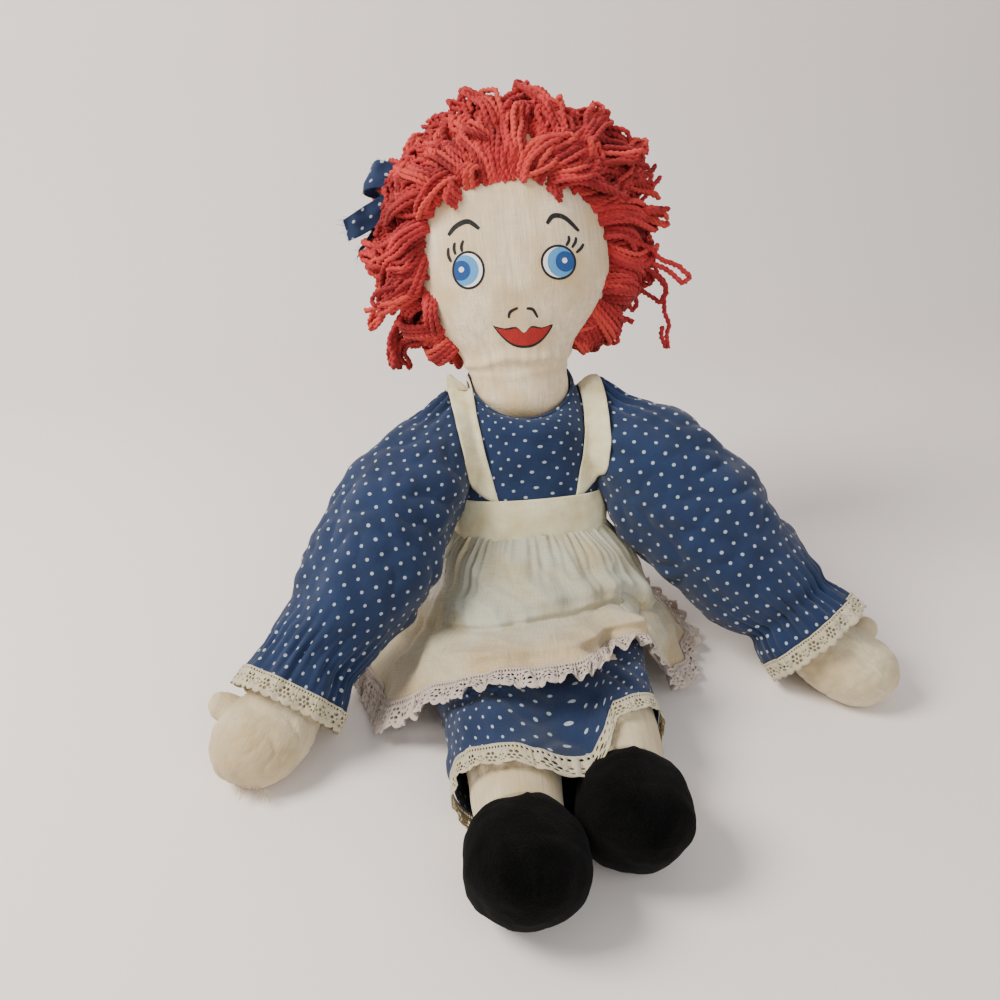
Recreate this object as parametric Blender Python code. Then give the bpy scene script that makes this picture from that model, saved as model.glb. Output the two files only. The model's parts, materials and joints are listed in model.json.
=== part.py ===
"""A rag doll that sits on the floor: a stuffed muslin body in a dotted dress and a voile apron.

Metres, +Z up. The doll faces -Y, and its own left side is +X. The origin is on the floor,
under the hips. Each stuffed piece is a closed form that swells and tapers, each garment a
thin shell or sheet with its main folds, and every limb turns about its own seam.
"""
import math

import bmesh
import bpy
from mathutils import Matrix, Vector
from mathutils.bvhtree import BVHTree

# Cloth and clearances
SEWN_GAP = 0.0003
JOINT_GAP = 0.0006
COTTON = 0.0012
VOILE = 0.0008
LACE = 0.0009
FLAT_CUT = 0.0005
OVERRUN = 0.02

# Torso, which leans back
TORSO_LEAN = math.radians(17)
SEAT_HEIGHT = 0.038
SEAT_BACK = 0.0056
TORSO_LENGTH = 0.133
TORSO_BELOW_SEAT = TORSO_LENGTH * 0.27
TORSO_HALF_WIDTH = 0.050
TORSO_HALF_DEPTH = 0.037
TORSO_POWER = 2.4
WAIST_UP = 0.0475

# Neck ball and head
NECK_X = -0.002
NECK_BEHIND_TORSO = 0.0035
NECK_ABOVE_TORSO = 0.0088
NECK_HALF_WIDTH = 0.033
NECK_RADIUS = 0.028
HEAD_YAW = math.radians(-11)
HEAD_LEAN = math.radians(22)
HEAD_ROLL = math.radians(-6.5)
HEAD_LENGTH = 0.178
HEAD_HALF_WIDTH = 0.062
HEAD_HALF_DEPTH = 0.045
HEAD_POWER = 2.2

# Yarn hair
HAIR_HALF_WIDTH = 0.092
HAIR_HALF_DEPTH = 0.062
HAIR_BACK_SET = 0.012
HAIR_TOP = 0.192
HAIR_BOTTOM = 0.034
HAIR_LUMP = 0.004
HAIR_ROWS = 11
FACE_HALF_WIDTH = 0.058
FACE_TOP = 0.152
FACE_DEPTH = 0.020
FACE_NARROWING_SHARE = 0.15
FACE_POWER = 2.4
FACE_FOOT_STEEPNESS = 3

# Arms and hands
SHOULDER_X = 0.0585
SHOULDER_BEHIND_TORSO = 0.002
SHOULDER_BELOW_TORSO = 0.0048
SHOULDER_RADIUS = 0.021
ARM_RADIUS = 0.025
ARM_LENGTH = 0.268
WRIST_HEIGHT = 0.0356
ARM_OUT = math.radians(41.8)
HAND_LENGTH = 0.065
WRIST_AT = ARM_LENGTH - HAND_LENGTH
HAND_BEND = 0.046
HAND_DROP = math.radians(4)
HAND_HALF_WIDTH = 0.028
HAND_HALF_DEPTH = 0.0226
THUMB_LENGTH = 0.017
THUMB_RADIUS = 0.0095
THUMB_ROOT_SHARE = 0.865
THUMB_FORWARD_SHARE = 0.32
THUMB_UP_SHARE = 0.44

# Legs and shoes
HIP_FRONT = 0.012
HIP_HEIGHT = 0.030
HIP_X = {"left": 0.0275, "right": -0.0315}
LEG_RADIUS = 0.0285
LEG_LENGTH = {"left": 0.167, "right": 0.189}
LEG_TURN = math.radians(6.6)
LEGS_UP = math.radians(50)
LEGS_DOWN = math.radians(70)
SHOE_LENGTH = 0.061
SHOE_HALF_WIDTH = 0.0302
SHOE_HALF_HEIGHT = 0.0325
TOE_RISE = 0.003

# Dress
LAP_HEIGHT = 0.0625
SKIRT_LENGTH = 0.165
SKIRT_HALF_WIDTH = 0.0625
SKIRT_SHIFT = 0.020
HEM_SLANT = 0.020
SKIRT_FOLDS = 9
SKIRT_FOLD_DEPTH = 0.0012
HEM_LACE_WIDTH = 0.013
SLEEVE_ARMHOLE_RADIUS = 0.033
SLEEVE_PUFF_RADIUS = 0.041
SLEEVE_CAP_RADIUS = 0.0245
SLEEVE_END = WRIST_AT
FRILL_LENGTH = 0.018
ELASTIC_AT = SLEEVE_END - FRILL_LENGTH
SLEEVE_ELASTIC_RADIUS = 0.0285
SLEEVE_FRILL_RADIUS = 0.0325
CUFF_LACE_WIDTH = 0.013
ELASTIC_WIDTH = 0.005
ELASTIC_THICKNESS = 0.001
BINDING_HEIGHT = 0.0035
BINDING_TOP_SHARE = 0.96
PLACKET_WIDTH = 0.014
PLACKET_THICKNESS = 0.0008
PLACKET_BELOW_NECKLINE = 0.003
BUTTON_RADIUS = 0.0045
BUTTON_THICKNESS = 0.0022
UPPER_BUTTON_SHARE = 0.82
LOWER_BUTTON_SHARE = 0.28

# Apron
WAISTBAND_LOW = WAIST_UP + SEWN_GAP
WAISTBAND_HEIGHT = 0.025
WAISTBAND_THICKNESS = 0.0013
STRAP_WIDTH = 0.015
STRAP_THICKNESS = 0.001
STRAP_AT_SHOULDER = 0.0445
STRAP_AT_WAIST = {"left": 0.029, "right": 0.036}
STRAP_CURVE_POWER = 0.7
APRON_CLEAR = 0.0042
APRON_FOLDS = 17
APRON_FOLD_DEPTH = 0.0022
APRON_FLARE = 0.052
APRON_LOWEST = 0.002
APRON_LENGTH = 0.115
LAP_FOLD_HEIGHT = 0.005
LAP_FOLD_SHARE = 0.78
LAP_FOLD_SPREAD_SHARE = 0.09
APRON_LIFT_SHARE = 0.25
APRON_SPREAD_POWER = 1.6
APRON_BACK_SHARE = 0.8
APRON_LACE_WIDTH = 0.015
APRON_WHOLE_SHARE = 1 + APRON_LACE_WIDTH / APRON_LENGTH

# Bow of the dress's cotton at the side of the hair
BOW_LENGTH = 0.024
BOW_TAIL_LENGTH = 0.030
BOW_HALF_WIDTH = 0.0085
BOW_HALF_THICKNESS = 0.003
BOW_KNOT_RADIUS = 0.006
BOW_HEIGHT_SHARE = 0.72
BOW_KNOT_UP_SHARE = 0.30
BOW_LOOP_OUT_SHARE = 0.75
BOW_TAIL_OUT_SHARE = 0.85
BOW_BACK_SHARE = 0.2

# Numbers of points
BODY_SIDES = 28
CHEST_RINGS = 7
LIMB_SIDES = 16
SHELL_SIDES = 32
SKIRT_RINGS = 11
APRON_COLUMNS = 40
APRON_RINGS = 9
HAIR_SIDES = 33
HAIR_RINGS = 10
STRAP_STEPS = 18
STRAP_COLUMNS = 3
PLACKET_ROWS = 7
PLACKET_COLUMNS = 4
KNOT_SETTLING_STEPS = 12

SIDES = {"left": 1, "right": -1}
UP = Vector((0, 0, 1))
ACROSS = Vector((1, 0, 0))


def material(name, colour, roughness, metallic=0.0):
    """A Principled material of one linear colour."""
    found = bpy.data.materials.get(name)
    if found:
        return found
    made = bpy.data.materials.new(name)
    made.use_nodes = True
    shader = made.node_tree.nodes["Principled BSDF"]
    shader.inputs["Base Color"].default_value = (*colour, 1)
    shader.inputs["Roughness"].default_value = roughness
    shader.inputs["Metallic"].default_value = metallic
    made.diffuse_color = (*colour, 1)
    return made


def add_object(name, shape, look, origin):
    """An object from a bmesh in world places, with its own origin at a seam or joint."""
    bmesh.ops.translate(shape, verts=shape.verts, vec=-origin)
    bmesh.ops.recalc_face_normals(shape, faces=shape.faces)
    mesh = bpy.data.meshes.new(name)
    shape.to_mesh(mesh)
    shape.free()
    mesh.shade_smooth()
    mesh.set_sharp_from_angle(angle=math.radians(50))
    if look:
        mesh.materials.append(look)
    made = bpy.data.objects.new(name, mesh)
    made.location = origin
    bpy.context.scene.collection.objects.link(made)
    return made


def cut(piece, tool, operation="DIFFERENCE", solver="EXACT"):
    """Cut a piece by a tool, or join the tool to it."""
    tool.hide_render = True
    tool.display_type = "WIRE"
    step = piece.modifiers.new(tool.name, "BOOLEAN")
    step.operation = operation
    step.object = tool
    step.solver = solver


def smooth_row(rows, place):
    """The row at a fractional place in a table, on a smooth curve through its rows."""
    last = len(rows) - 1
    low = min(int(max(place, 0)), last - 1)
    share = place - low
    before, first, second, after = (rows[min(max(low + step, 0), last)] for step in (-1, 0, 1, 2))
    return [
        b + share * (c - a) / 2 + share ** 2 * (a - 5 * b / 2 + 2 * c - d / 2)
        + share ** 3 * ((d - a) / 2 + 3 * (b - c) / 2)
        for a, b, c, d in zip(before, first, second, after)
    ]


def rounded(angle, half_x, half_y, power):
    """A point at an angle of a superellipse: power 2 is an ellipse, more is squarer."""
    x, y = math.cos(angle), math.sin(angle)
    exponent = 2 / power
    return half_x * math.copysign(abs(x) ** exponent, x), half_y * math.copysign(abs(y) ** exponent, y)


def angles(count):
    return [2 * math.pi * step / count for step in range(count)]


def ring_of(centre, across, forward, half_x, half_y, power, sides, floor=None):
    """A closed ring of points, flattened where it would sink below a floor."""
    ring = []
    for angle in angles(sides):
        x, y = rounded(angle, half_x, half_y, power)
        point = centre + across * x + forward * y
        if floor is not None:
            point.z = max(point.z, floor)
        ring.append(point)
    return ring


def skin_rings(shape, rings):
    """Rows of quads between rings of points, which are returned as vertices."""
    rows = [[shape.verts.new(point) for point in ring] for ring in rings]
    for low, high in zip(rows, rows[1:]):
        for step in range(len(low)):
            after = (step + 1) % len(low)
            shape.faces.new((low[step], low[after], high[after], high[step]))
    return rows


def solid_of(rings):
    """A closed form through rings, with flat ends."""
    shape = bmesh.new()
    rows = skin_rings(shape, rings)
    shape.faces.new(rows[0])
    shape.faces.new(rows[-1])
    return shape


def in_triangles(shape):
    """The same form in flat triangles, whose cuts have flat faces too."""
    bmesh.ops.triangulate(shape, faces=shape.faces, quad_method="FIXED")
    return shape


def shell_of(outer, inner, closed_start=False):
    """A tube with a wall between two sets of rings, or a cup whose first end is closed."""
    shape = bmesh.new()
    outer_rows = skin_rings(shape, outer)
    inner_rows = skin_rings(shape, inner)
    ends = [(outer_rows[-1], inner_rows[-1])]
    if closed_start:
        shape.faces.new(outer_rows[0])
        shape.faces.new(inner_rows[0])
    else:
        ends.append((outer_rows[0], inner_rows[0]))
    for out_row, in_row in ends:
        for step in range(len(out_row)):
            after = (step + 1) % len(out_row)
            shape.faces.new((out_row[step], out_row[after], in_row[after], in_row[step]))
    return shape


def sheet_of(front, back):
    """A sheet with a thickness between two grids of points that have a border."""
    shape = bmesh.new()
    grids = [[[shape.verts.new(point) for point in row] for row in grid] for grid in (front, back)]
    for grid in grids:
        for low, high in zip(grid, grid[1:]):
            for step in range(len(low) - 1):
                shape.faces.new((low[step], low[step + 1], high[step + 1], high[step]))
    borders = [
        grid[0] + [row[-1] for row in grid[1:-1]] + grid[-1][::-1] + [row[0] for row in grid[-2:0:-1]]
        for grid in grids
    ]
    count = len(borders[0])
    for step in range(count):
        after = (step + 1) % count
        shape.faces.new((borders[0][step], borders[0][after], borders[1][after], borders[1][step]))
    return shape


def ball_rows(radius, steps=5):
    """Places and shares of the round end of a limb, from near its pole to short of its widest ring."""
    turns = [math.pi / 2 * (step + 0.5) / (steps - 0.5) for step in range(steps - 1)]
    return [(-math.cos(turn) * radius, math.sin(turn)) for turn in turns]


# The torso's own directions
TORSO_UP = Vector((0, math.sin(TORSO_LEAN), math.cos(TORSO_LEAN)))
TORSO_FRONT = Vector((0, -math.cos(TORSO_LEAN), math.sin(TORSO_LEAN)))
SEAT = Vector((0, SEAT_BACK, SEAT_HEIGHT))
HIP_LINE = Vector((0, -HIP_FRONT, HIP_HEIGHT))
TORSO_TOP = SEAT + TORSO_UP * TORSO_LENGTH
NECK = TORSO_TOP + Vector((NECK_X, NECK_BEHIND_TORSO, NECK_ABOVE_TORSO))
SHOULDERS = TORSO_TOP - TORSO_UP * SHOULDER_BELOW_TORSO - TORSO_FRONT * SHOULDER_BEHIND_TORSO
ARM_DROP = math.asin((SHOULDERS.z - WRIST_HEIGHT) / WRIST_AT)

# Shares of the torso's length above the seat, half-width and half-depth
TORSO_SHARES = (
    (-0.257, 0.50, 0.42),
    (-0.21, 0.78, 0.74),
    (-0.11, 0.95, 0.94),
    (0.04, 1.00, 1.00),
    (0.22, 0.99, 0.99),
    (0.42, 0.96, 0.96),
    (0.62, 0.92, 0.93),
    (0.78, 0.87, 0.91),
    (0.90, 0.83, 0.89),
    (0.96, 0.80, 0.87),
    (1.00, 0.76, 0.84),
)


def torso_size(up):
    """Half-width and half-depth of the torso at a distance above the seat."""
    share = up / TORSO_LENGTH
    for place in range(len(TORSO_SHARES) - 1):
        low, high = TORSO_SHARES[place], TORSO_SHARES[place + 1]
        if share <= high[0] or place == len(TORSO_SHARES) - 2:
            step = min((share - low[0]) / (high[0] - low[0]), 1)
            _, width, depth = smooth_row(TORSO_SHARES, place + step)
            return width * TORSO_HALF_WIDTH, depth * TORSO_HALF_DEPTH


def torso_ring(up, grow, floor=None):
    width, depth = torso_size(up)
    centre = SEAT + TORSO_UP * up
    return ring_of(centre, ACROSS, TORSO_FRONT, width + grow, depth + grow, TORSO_POWER, BODY_SIDES, floor)


def torso_rings(low, high, count, grow, floor=None):
    return [torso_ring(low + (high - low) * step / (count - 1), grow, floor) for step in range(count)]


def torso_face(up, x, grow, front=1):
    """A point on the front or back of a layer round the torso."""
    width, depth = torso_size(up)
    share = min(abs(x) / (width + grow), 1)
    rise = (depth + grow) * (1 - share ** TORSO_POWER) ** (1 / TORSO_POWER)
    return SEAT + TORSO_UP * up + ACROSS * x + TORSO_FRONT * (rise * front)


def neck_ball(name, grow):
    """The round end of the neck, a ball drawn out along the line it nods about."""
    turn = Matrix.Rotation(HEAD_YAW, 3, "Z")
    poles = ball_rows(NECK_RADIUS + grow, 8)
    rows = poles + [(0, 1)] + [(-along, share) for along, share in reversed(poles)]
    rings = [
        ring_of(NECK + UP * along, turn @ ACROSS, turn @ -Vector((0, 1, 0)), share * (NECK_HALF_WIDTH + grow),
                share * (NECK_RADIUS + grow), 2, BODY_SIDES)
        for along, share in rows
    ]
    return add_object(name, solid_of(rings), None, NECK)


def shoulder_of(side):
    return SHOULDERS + ACROSS * (SIDES[side] * SHOULDER_X)


def shoulder_ball(name, side, grow):
    """A ball round a shoulder's seam, which hollows what the arm turns in."""
    shape = bmesh.new()
    bmesh.ops.create_uvsphere(shape, u_segments=SHELL_SIDES, v_segments=SHELL_SIDES // 2,
                              radius=SHOULDER_RADIUS + grow)
    bmesh.ops.translate(shape, verts=shape.verts, vec=shoulder_of(side))
    return add_object(name, shape, None, shoulder_of(side))


def leg_sweep(name, grow):
    """The room that both legs take as they turn, a wedge with a round back, across the hips."""
    radius = LEG_RADIUS + grow
    reach = SKIRT_LENGTH

    def around(turn):
        return HIP_LINE + Vector((0, math.sin(turn), math.cos(turn))) * radius

    steps = LIMB_SIDES
    outline = [around(LEGS_UP + (math.pi - LEGS_DOWN - LEGS_UP) * step / steps) for step in range(steps + 1)]
    outline.append(outline[-1] + Vector((0, -math.cos(LEGS_DOWN), -math.sin(LEGS_DOWN))) * reach)
    outline.append(HIP_LINE - Vector((0, reach + radius, 0)))
    outline.append(outline[0] + Vector((0, -math.cos(LEGS_UP), math.sin(LEGS_UP))) * reach)
    side = ACROSS * (TORSO_HALF_WIDTH + OVERRUN)
    rings = [[point - side for point in outline], [point + side for point in outline]]
    return add_object(name, solid_of(rings), None, HIP_LINE)


def make_torso():
    look = material("muslin", (0.60, 0.52, 0.36), 0.9)
    rings = torso_rings(-TORSO_BELOW_SEAT, WAIST_UP, 7, 0, floor=COTTON + SEWN_GAP)
    rings += torso_rings(WAIST_UP, TORSO_LENGTH, CHEST_RINGS, 0)[1:]
    torso = add_object("torso", solid_of(rings), look, SEAT)
    cut(torso, leg_sweep("room for the legs", JOINT_GAP))
    cut(torso, neck_ball("room for the neck", JOINT_GAP))
    for side in SIDES:
        cut(torso, shoulder_ball("room for the " + side + " arm", side, JOINT_GAP))


# Shares of the head's length, half-width and half-depth, above the neck ball
HEAD_SHARES = (
    (0.00, 0.52, 0.61),
    (0.07, 0.53, 0.625),
    (0.14, 0.62, 0.69),
    (0.24, 0.84, 0.83),
    (0.36, 0.96, 0.94),
    (0.50, 1.00, 1.00),
    (0.64, 0.97, 1.00),
    (0.78, 0.85, 0.91),
    (0.89, 0.63, 0.70),
    (0.96, 0.36, 0.42),
    (1.00, 0.08, 0.10),
)
HEAD_TURN = (Matrix.Rotation(HEAD_YAW, 3, "Z") @ Matrix.Rotation(-HEAD_LEAN, 3, "X")
             @ Matrix.Rotation(HEAD_ROLL, 3, "Y"))
HEAD_UP = HEAD_TURN @ UP
HEAD_ACROSS = HEAD_TURN @ ACROSS
HEAD_FRONT = HEAD_TURN @ Vector((0, -1, 0))


def head_rings(grow):
    """Rings of the head from the round end of the neck to the crown."""
    turn = Matrix.Rotation(HEAD_YAW, 3, "Z")
    rings = []
    for along, share in ball_rows(NECK_RADIUS + grow):
        rings.append(ring_of(NECK + UP * along, turn @ ACROSS, turn @ Vector((0, -1, 0)),
                             share * (NECK_HALF_WIDTH + grow), share * (NECK_RADIUS + grow), 2, BODY_SIDES))
    steps = len(HEAD_SHARES) + 3
    for step in range(steps + 1):
        along, width, depth = smooth_row(HEAD_SHARES, step * (len(HEAD_SHARES) - 1) / steps)
        lean = min(along / HEAD_SHARES[2][0], 1)
        forward = (turn @ Vector((0, -1, 0))).lerp(HEAD_FRONT, lean).normalized()
        power = 2 + (HEAD_POWER - 2) * lean
        rings.append(ring_of(NECK + HEAD_UP * (along * HEAD_LENGTH), HEAD_ACROSS, forward,
                             width * HEAD_HALF_WIDTH + grow, depth * HEAD_HALF_DEPTH + grow, power, BODY_SIDES))
    crown = HEAD_UP * grow
    rings[-1] = [point + crown for point in rings[-1]]
    return rings


def make_head():
    look = material("face muslin", (0.66, 0.57, 0.43), 0.9)
    add_object("head", in_triangles(solid_of(head_rings(0))), look, NECK)


# Shares of the hair's height, half-width and half-depth, from its lower edge to its top
HAIR_SHARES = (
    (0.00, 0.62, 0.55),
    (0.08, 0.84, 0.80),
    (0.22, 0.97, 0.95),
    (0.40, 1.00, 1.00),
    (0.58, 0.98, 1.00),
    (0.74, 0.86, 0.93),
    (0.87, 0.65, 0.74),
    (0.95, 0.42, 0.48),
    (1.00, 0.16, 0.18),
)


def make_hair():
    """Yarn loops sewn round the face and over the back, as one lumpy cap round the head."""
    look = material("red yarn", (0.50, 0.05, 0.04), 0.95)
    rings = []
    for step in range(HAIR_RINGS + 1):
        share = step / HAIR_RINGS
        along, width, depth = smooth_row(HAIR_SHARES, share * (len(HAIR_SHARES) - 1))
        centre = NECK + HEAD_UP * (HAIR_BOTTOM + along * (HAIR_TOP - HAIR_BOTTOM)) - HEAD_FRONT * HAIR_BACK_SET
        ring = []
        for angle in angles(HAIR_SIDES):
            lump = HAIR_LUMP * math.cos(HAIR_ROWS * angle + math.pi * step)
            lump *= min(width, 1)
            x, y = rounded(angle, width * HAIR_HALF_WIDTH + lump, depth * HAIR_HALF_DEPTH + lump, 2)
            ring.append(centre + HEAD_ACROSS * x + HEAD_FRONT * y)
        rings.append(ring)
    hair = add_object("hair", in_triangles(solid_of(rings)), look, NECK)
    room = in_triangles(solid_of(head_rings(JOINT_GAP + SEWN_GAP)))
    cut(hair, add_object("room for the head", room, None, NECK), solver="MANIFOLD")
    middle = (FACE_TOP + HAIR_BOTTOM) / 2
    outline = []
    for angle in angles(BODY_SIDES):
        x, y = rounded(angle, FACE_HALF_WIDTH, FACE_TOP - middle, FACE_POWER)
        if y < 0:
            x = math.copysign(FACE_HALF_WIDTH, x) * (1 - FACE_NARROWING_SHARE * min(-y / (middle - HAIR_BOTTOM), 1))
            x *= min(abs(math.cos(angle)) * FACE_FOOT_STEEPNESS, 1)
            y -= OVERRUN * -math.sin(angle)
        outline.append((x, middle + y))
    rings = [
        [NECK + HEAD_ACROSS * x + HEAD_UP * y + HEAD_FRONT * depth for x, y in outline]
        for depth in (FACE_DEPTH, HAIR_HALF_DEPTH + OVERRUN)
    ]
    cut(hair, add_object("room for the face", solid_of(rings), None, NECK), solver="MANIFOLD")
    return hair


def arm_axis(side):
    """The direction of an arm, from its shoulder to its wrist."""
    level = Vector((SIDES[side] * math.sin(ARM_OUT), -math.cos(ARM_OUT), 0))
    return level * math.cos(ARM_DROP) - UP * math.sin(ARM_DROP)


def arm_place(side, along):
    """Centre and direction at a distance down the arm, which bends level at the wrist."""
    level = Vector((SIDES[side] * math.sin(ARM_OUT), -math.cos(ARM_OUT), 0))
    point = shoulder_of(side) + arm_axis(side) * min(along, WRIST_AT)
    steps = 12
    bent = max(along - WRIST_AT, 0)
    drop = ARM_DROP
    for step in range(steps):
        turned = min(bent * (step + 1) / steps / HAND_BEND, 1)
        drop = ARM_DROP + (HAND_DROP - ARM_DROP) * turned
        point += (level * math.cos(drop) - UP * math.sin(drop)) * (bent / steps)
    if not bent:
        drop = ARM_DROP
    return point, level * math.cos(drop) - UP * math.sin(drop)


# Shares of the arm's length with half-width and half-depth: of the arm's radius, then of the hand's
ARM_SHARES = ((0.045, 0.81), (0.095, 0.89), (0.17, 1.00), (0.30, 1.00), (0.45, 0.98), (0.58, 0.93), (0.69, 0.87))
HAND_SHARES = (
    (0.755, 0.78, 0.90),
    (0.81, 0.92, 0.96),
    (0.865, 1.00, 1.00),
    (0.915, 0.97, 0.97),
    (0.955, 0.82, 0.84),
    (0.982, 0.56, 0.60),
    (1.00, 0.22, 0.26),
)


def make_arm(side):
    """A stuffed arm with a round end in the armhole and a mitten hand laid on the floor."""
    look = material("muslin", (0.60, 0.52, 0.36), 0.9)
    rows = [(along, share * SHOULDER_RADIUS, share * SHOULDER_RADIUS) for along, share in ball_rows(SHOULDER_RADIUS)]
    rows.append((0, SHOULDER_RADIUS, SHOULDER_RADIUS))
    rows += [(share * ARM_LENGTH, size * ARM_RADIUS, size * ARM_RADIUS) for share, size in ARM_SHARES]
    rows += [(share * ARM_LENGTH, width * HAND_HALF_WIDTH, depth * HAND_HALF_DEPTH)
             for share, width, depth in HAND_SHARES]
    rings = []
    for along, width, depth in rows:
        centre, forward = arm_place(side, along)
        if along < 0:
            centre = shoulder_of(side) + arm_axis(side) * along
        across = forward.cross(UP).normalized()
        rings.append(ring_of(centre, across, across.cross(forward), width, depth, 2, LIMB_SIDES, floor=0))
    arm = add_object(side + "_arm", solid_of(rings), look, shoulder_of(side))
    palm, forward = arm_place(side, THUMB_ROOT_SHARE * ARM_LENGTH)
    across = UP.cross(forward).normalized() * SIDES[side]
    root = palm + across * (HAND_HALF_WIDTH - THUMB_RADIUS) + UP * (THUMB_RADIUS / 2)
    points = (forward * THUMB_FORWARD_SHARE + across + UP * THUMB_UP_SHARE).normalized()
    level = points.cross(UP).normalized()
    rows = ball_rows(THUMB_RADIUS) + [(0, 1), (THUMB_LENGTH / 2, 0.95), (THUMB_LENGTH, 0.75)]
    rows.append((THUMB_LENGTH + THUMB_RADIUS / 3, 0.5))
    rings = [ring_of(root + points * along, level, level.cross(points), share * THUMB_RADIUS,
                     share * THUMB_RADIUS, 2, LIMB_SIDES // 2) for along, share in rows]
    cut(arm, add_object(side + " thumb", solid_of(rings), None, shoulder_of(side)), "UNION")


def hip_of(side):
    return Vector((HIP_X[side], -HIP_FRONT, HIP_HEIGHT))


LEG_FORWARD = Vector((-math.sin(LEG_TURN), -math.cos(LEG_TURN), 0))

# Shares of the leg's length and radius, and of the shoe's length, half-width and half-height
LEG_SHARES = ((0.15, 1.00), (0.40, 1.00), (0.62, 0.97), (0.80, 0.91), (0.92, 0.84), (1.00, 0.80))
SHOE_SHARES = (
    (0.00, 0.72, 0.67),
    (0.07, 0.88, 0.84),
    (0.20, 0.98, 0.96),
    (0.38, 1.00, 1.00),
    (0.58, 0.98, 0.98),
    (0.76, 0.85, 0.87),
    (0.90, 0.60, 0.63),
    (0.98, 0.30, 0.32),
    (1.00, 0.10, 0.11),
)


def make_leg(side):
    """A stuffed leg with a round end at the hip and a flat end in the shoe."""
    look = material("muslin", (0.60, 0.52, 0.36), 0.9)
    across = LEG_FORWARD.cross(UP)
    rows = ball_rows(LEG_RADIUS) + [(0, 1)]
    rows += [(share * LEG_LENGTH[side], size) for share, size in LEG_SHARES]
    rings = [ring_of(hip_of(side) + LEG_FORWARD * along, across, UP, size * LEG_RADIUS, size * LEG_RADIUS, 2,
                     LIMB_SIDES, floor=COTTON + SEWN_GAP) for along, size in rows]
    add_object(side + "_leg", solid_of(rings), look, hip_of(side))


def make_shoe(side):
    """A round stuffed foot of black felt, sewn on at the ankle and flat where it stands."""
    look = material("black felt", (0.004, 0.004, 0.004), 0.95)
    across = LEG_FORWARD.cross(UP)
    start = hip_of(side) + LEG_FORWARD * (LEG_LENGTH[side] + SEWN_GAP)
    centre_drop = UP * (HIP_HEIGHT - (SHOE_HALF_HEIGHT - FLAT_CUT))
    rings = []
    steps = len(SHOE_SHARES) + 1
    for step in range(steps + 1):
        along, width, height = smooth_row(SHOE_SHARES, step * (len(SHOE_SHARES) - 1) / steps)
        settle = min(along / SHOE_SHARES[2][0], 1)
        centre = start + LEG_FORWARD * (along * SHOE_LENGTH) - centre_drop * settle
        centre += UP * (TOE_RISE * max(along - SHOE_SHARES[4][0], 0) / (1 - SHOE_SHARES[4][0]))
        rings.append(ring_of(centre, across, UP, width * SHOE_HALF_WIDTH, height * SHOE_HALF_HEIGHT, 2,
                             LIMB_SIDES + 4, floor=0))
    add_object(side + "_shoe", solid_of(rings), look, hip_of(side))


def make_bodice():
    """The dress's top, a shell on the torso with an armhole at each shoulder."""
    look = material("blue dotted cotton", (0.02, 0.07, 0.20), 0.9)
    outer = torso_rings(WAIST_UP, TORSO_LENGTH, CHEST_RINGS, SEWN_GAP + COTTON)
    inner = torso_rings(WAIST_UP, TORSO_LENGTH, CHEST_RINGS, SEWN_GAP)
    bodice = add_object("bodice", shell_of(outer, inner), look, SEAT)
    for side in SIDES:
        cut(bodice, shoulder_ball("bodice " + side + " armhole", side, JOINT_GAP + SEWN_GAP))


def make_neck_binding():
    """The rolled strip of the dress's cotton that binds the neckline, a ring round the neck."""
    look = material("blue dotted cotton", (0.02, 0.07, 0.20), 0.9)
    low = TORSO_LENGTH + SEWN_GAP
    rings = torso_rings(low, low + BINDING_HEIGHT, 3, SEWN_GAP + COTTON)
    top = SEAT + TORSO_UP * (low + BINDING_HEIGHT)
    rings[-1] = [top + (point - top) * BINDING_TOP_SHARE for point in rings[-1]]
    binding = add_object("neck_binding", solid_of(rings), look, SEAT)
    cut(binding, neck_ball("binding room for the neck", JOINT_GAP))
    for side in SIDES:
        cut(binding, shoulder_ball("binding room for the " + side + " arm", side, JOINT_GAP))


# Rows down the skirt after the waist: front and back as shares of its length and of the lap's height,
# with its half-width, its shift to the side and its slant as shares of their own sizes
SKIRT_SHARES = (
    (-0.16, 1.36, 0.375, 0.78, 0.90, 0.00, 0.0, 2.4),
    (-0.25, 1.16, 0.350, 0.26, 0.97, 0.05, 0.0, 2.5),
    (-0.38, 1.06, 0.230, -0.06, 1.00, 0.15, 0.1, 2.7),
    (-0.53, 1.02, 0.010, -0.06, 1.00, 0.35, 0.25, 2.9),
    (-0.67, 1.00, -0.340, -0.06, 0.99, 0.60, 0.5, 3.0),
    (-0.83, 0.99, -0.660, -0.06, 0.98, 0.85, 0.75, 3.0),
    (-1.00, 0.98, -0.970, -0.06, 0.97, 1.00, 1.0, 3.0),
    (-1.08, 0.975, -1.050, -0.06, 0.965, 1.05, 1.05, 3.0),
)
HEM_ROW = 7


def skirt_rows():
    """The skirt's rows in metres, the first one at the torso's waist."""
    width, depth = torso_size(WAIST_UP)
    waist = SEAT + TORSO_UP * WAIST_UP
    front = waist + TORSO_FRONT * (depth + SEWN_GAP)
    back = waist - TORSO_FRONT * (depth + SEWN_GAP)
    rows = [(front.y, front.z, back.y, back.z, width + SEWN_GAP, 0, 0, TORSO_POWER)]
    for front_y, front_z, back_y, back_z, half, shift, slant, power in SKIRT_SHARES:
        rows.append((front_y * SKIRT_LENGTH, front_z * LAP_HEIGHT, back_y * SKIRT_LENGTH, back_z * LAP_HEIGHT,
                     half * SKIRT_HALF_WIDTH, -shift * SKIRT_SHIFT, slant * HEM_SLANT, power))
    return rows


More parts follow.
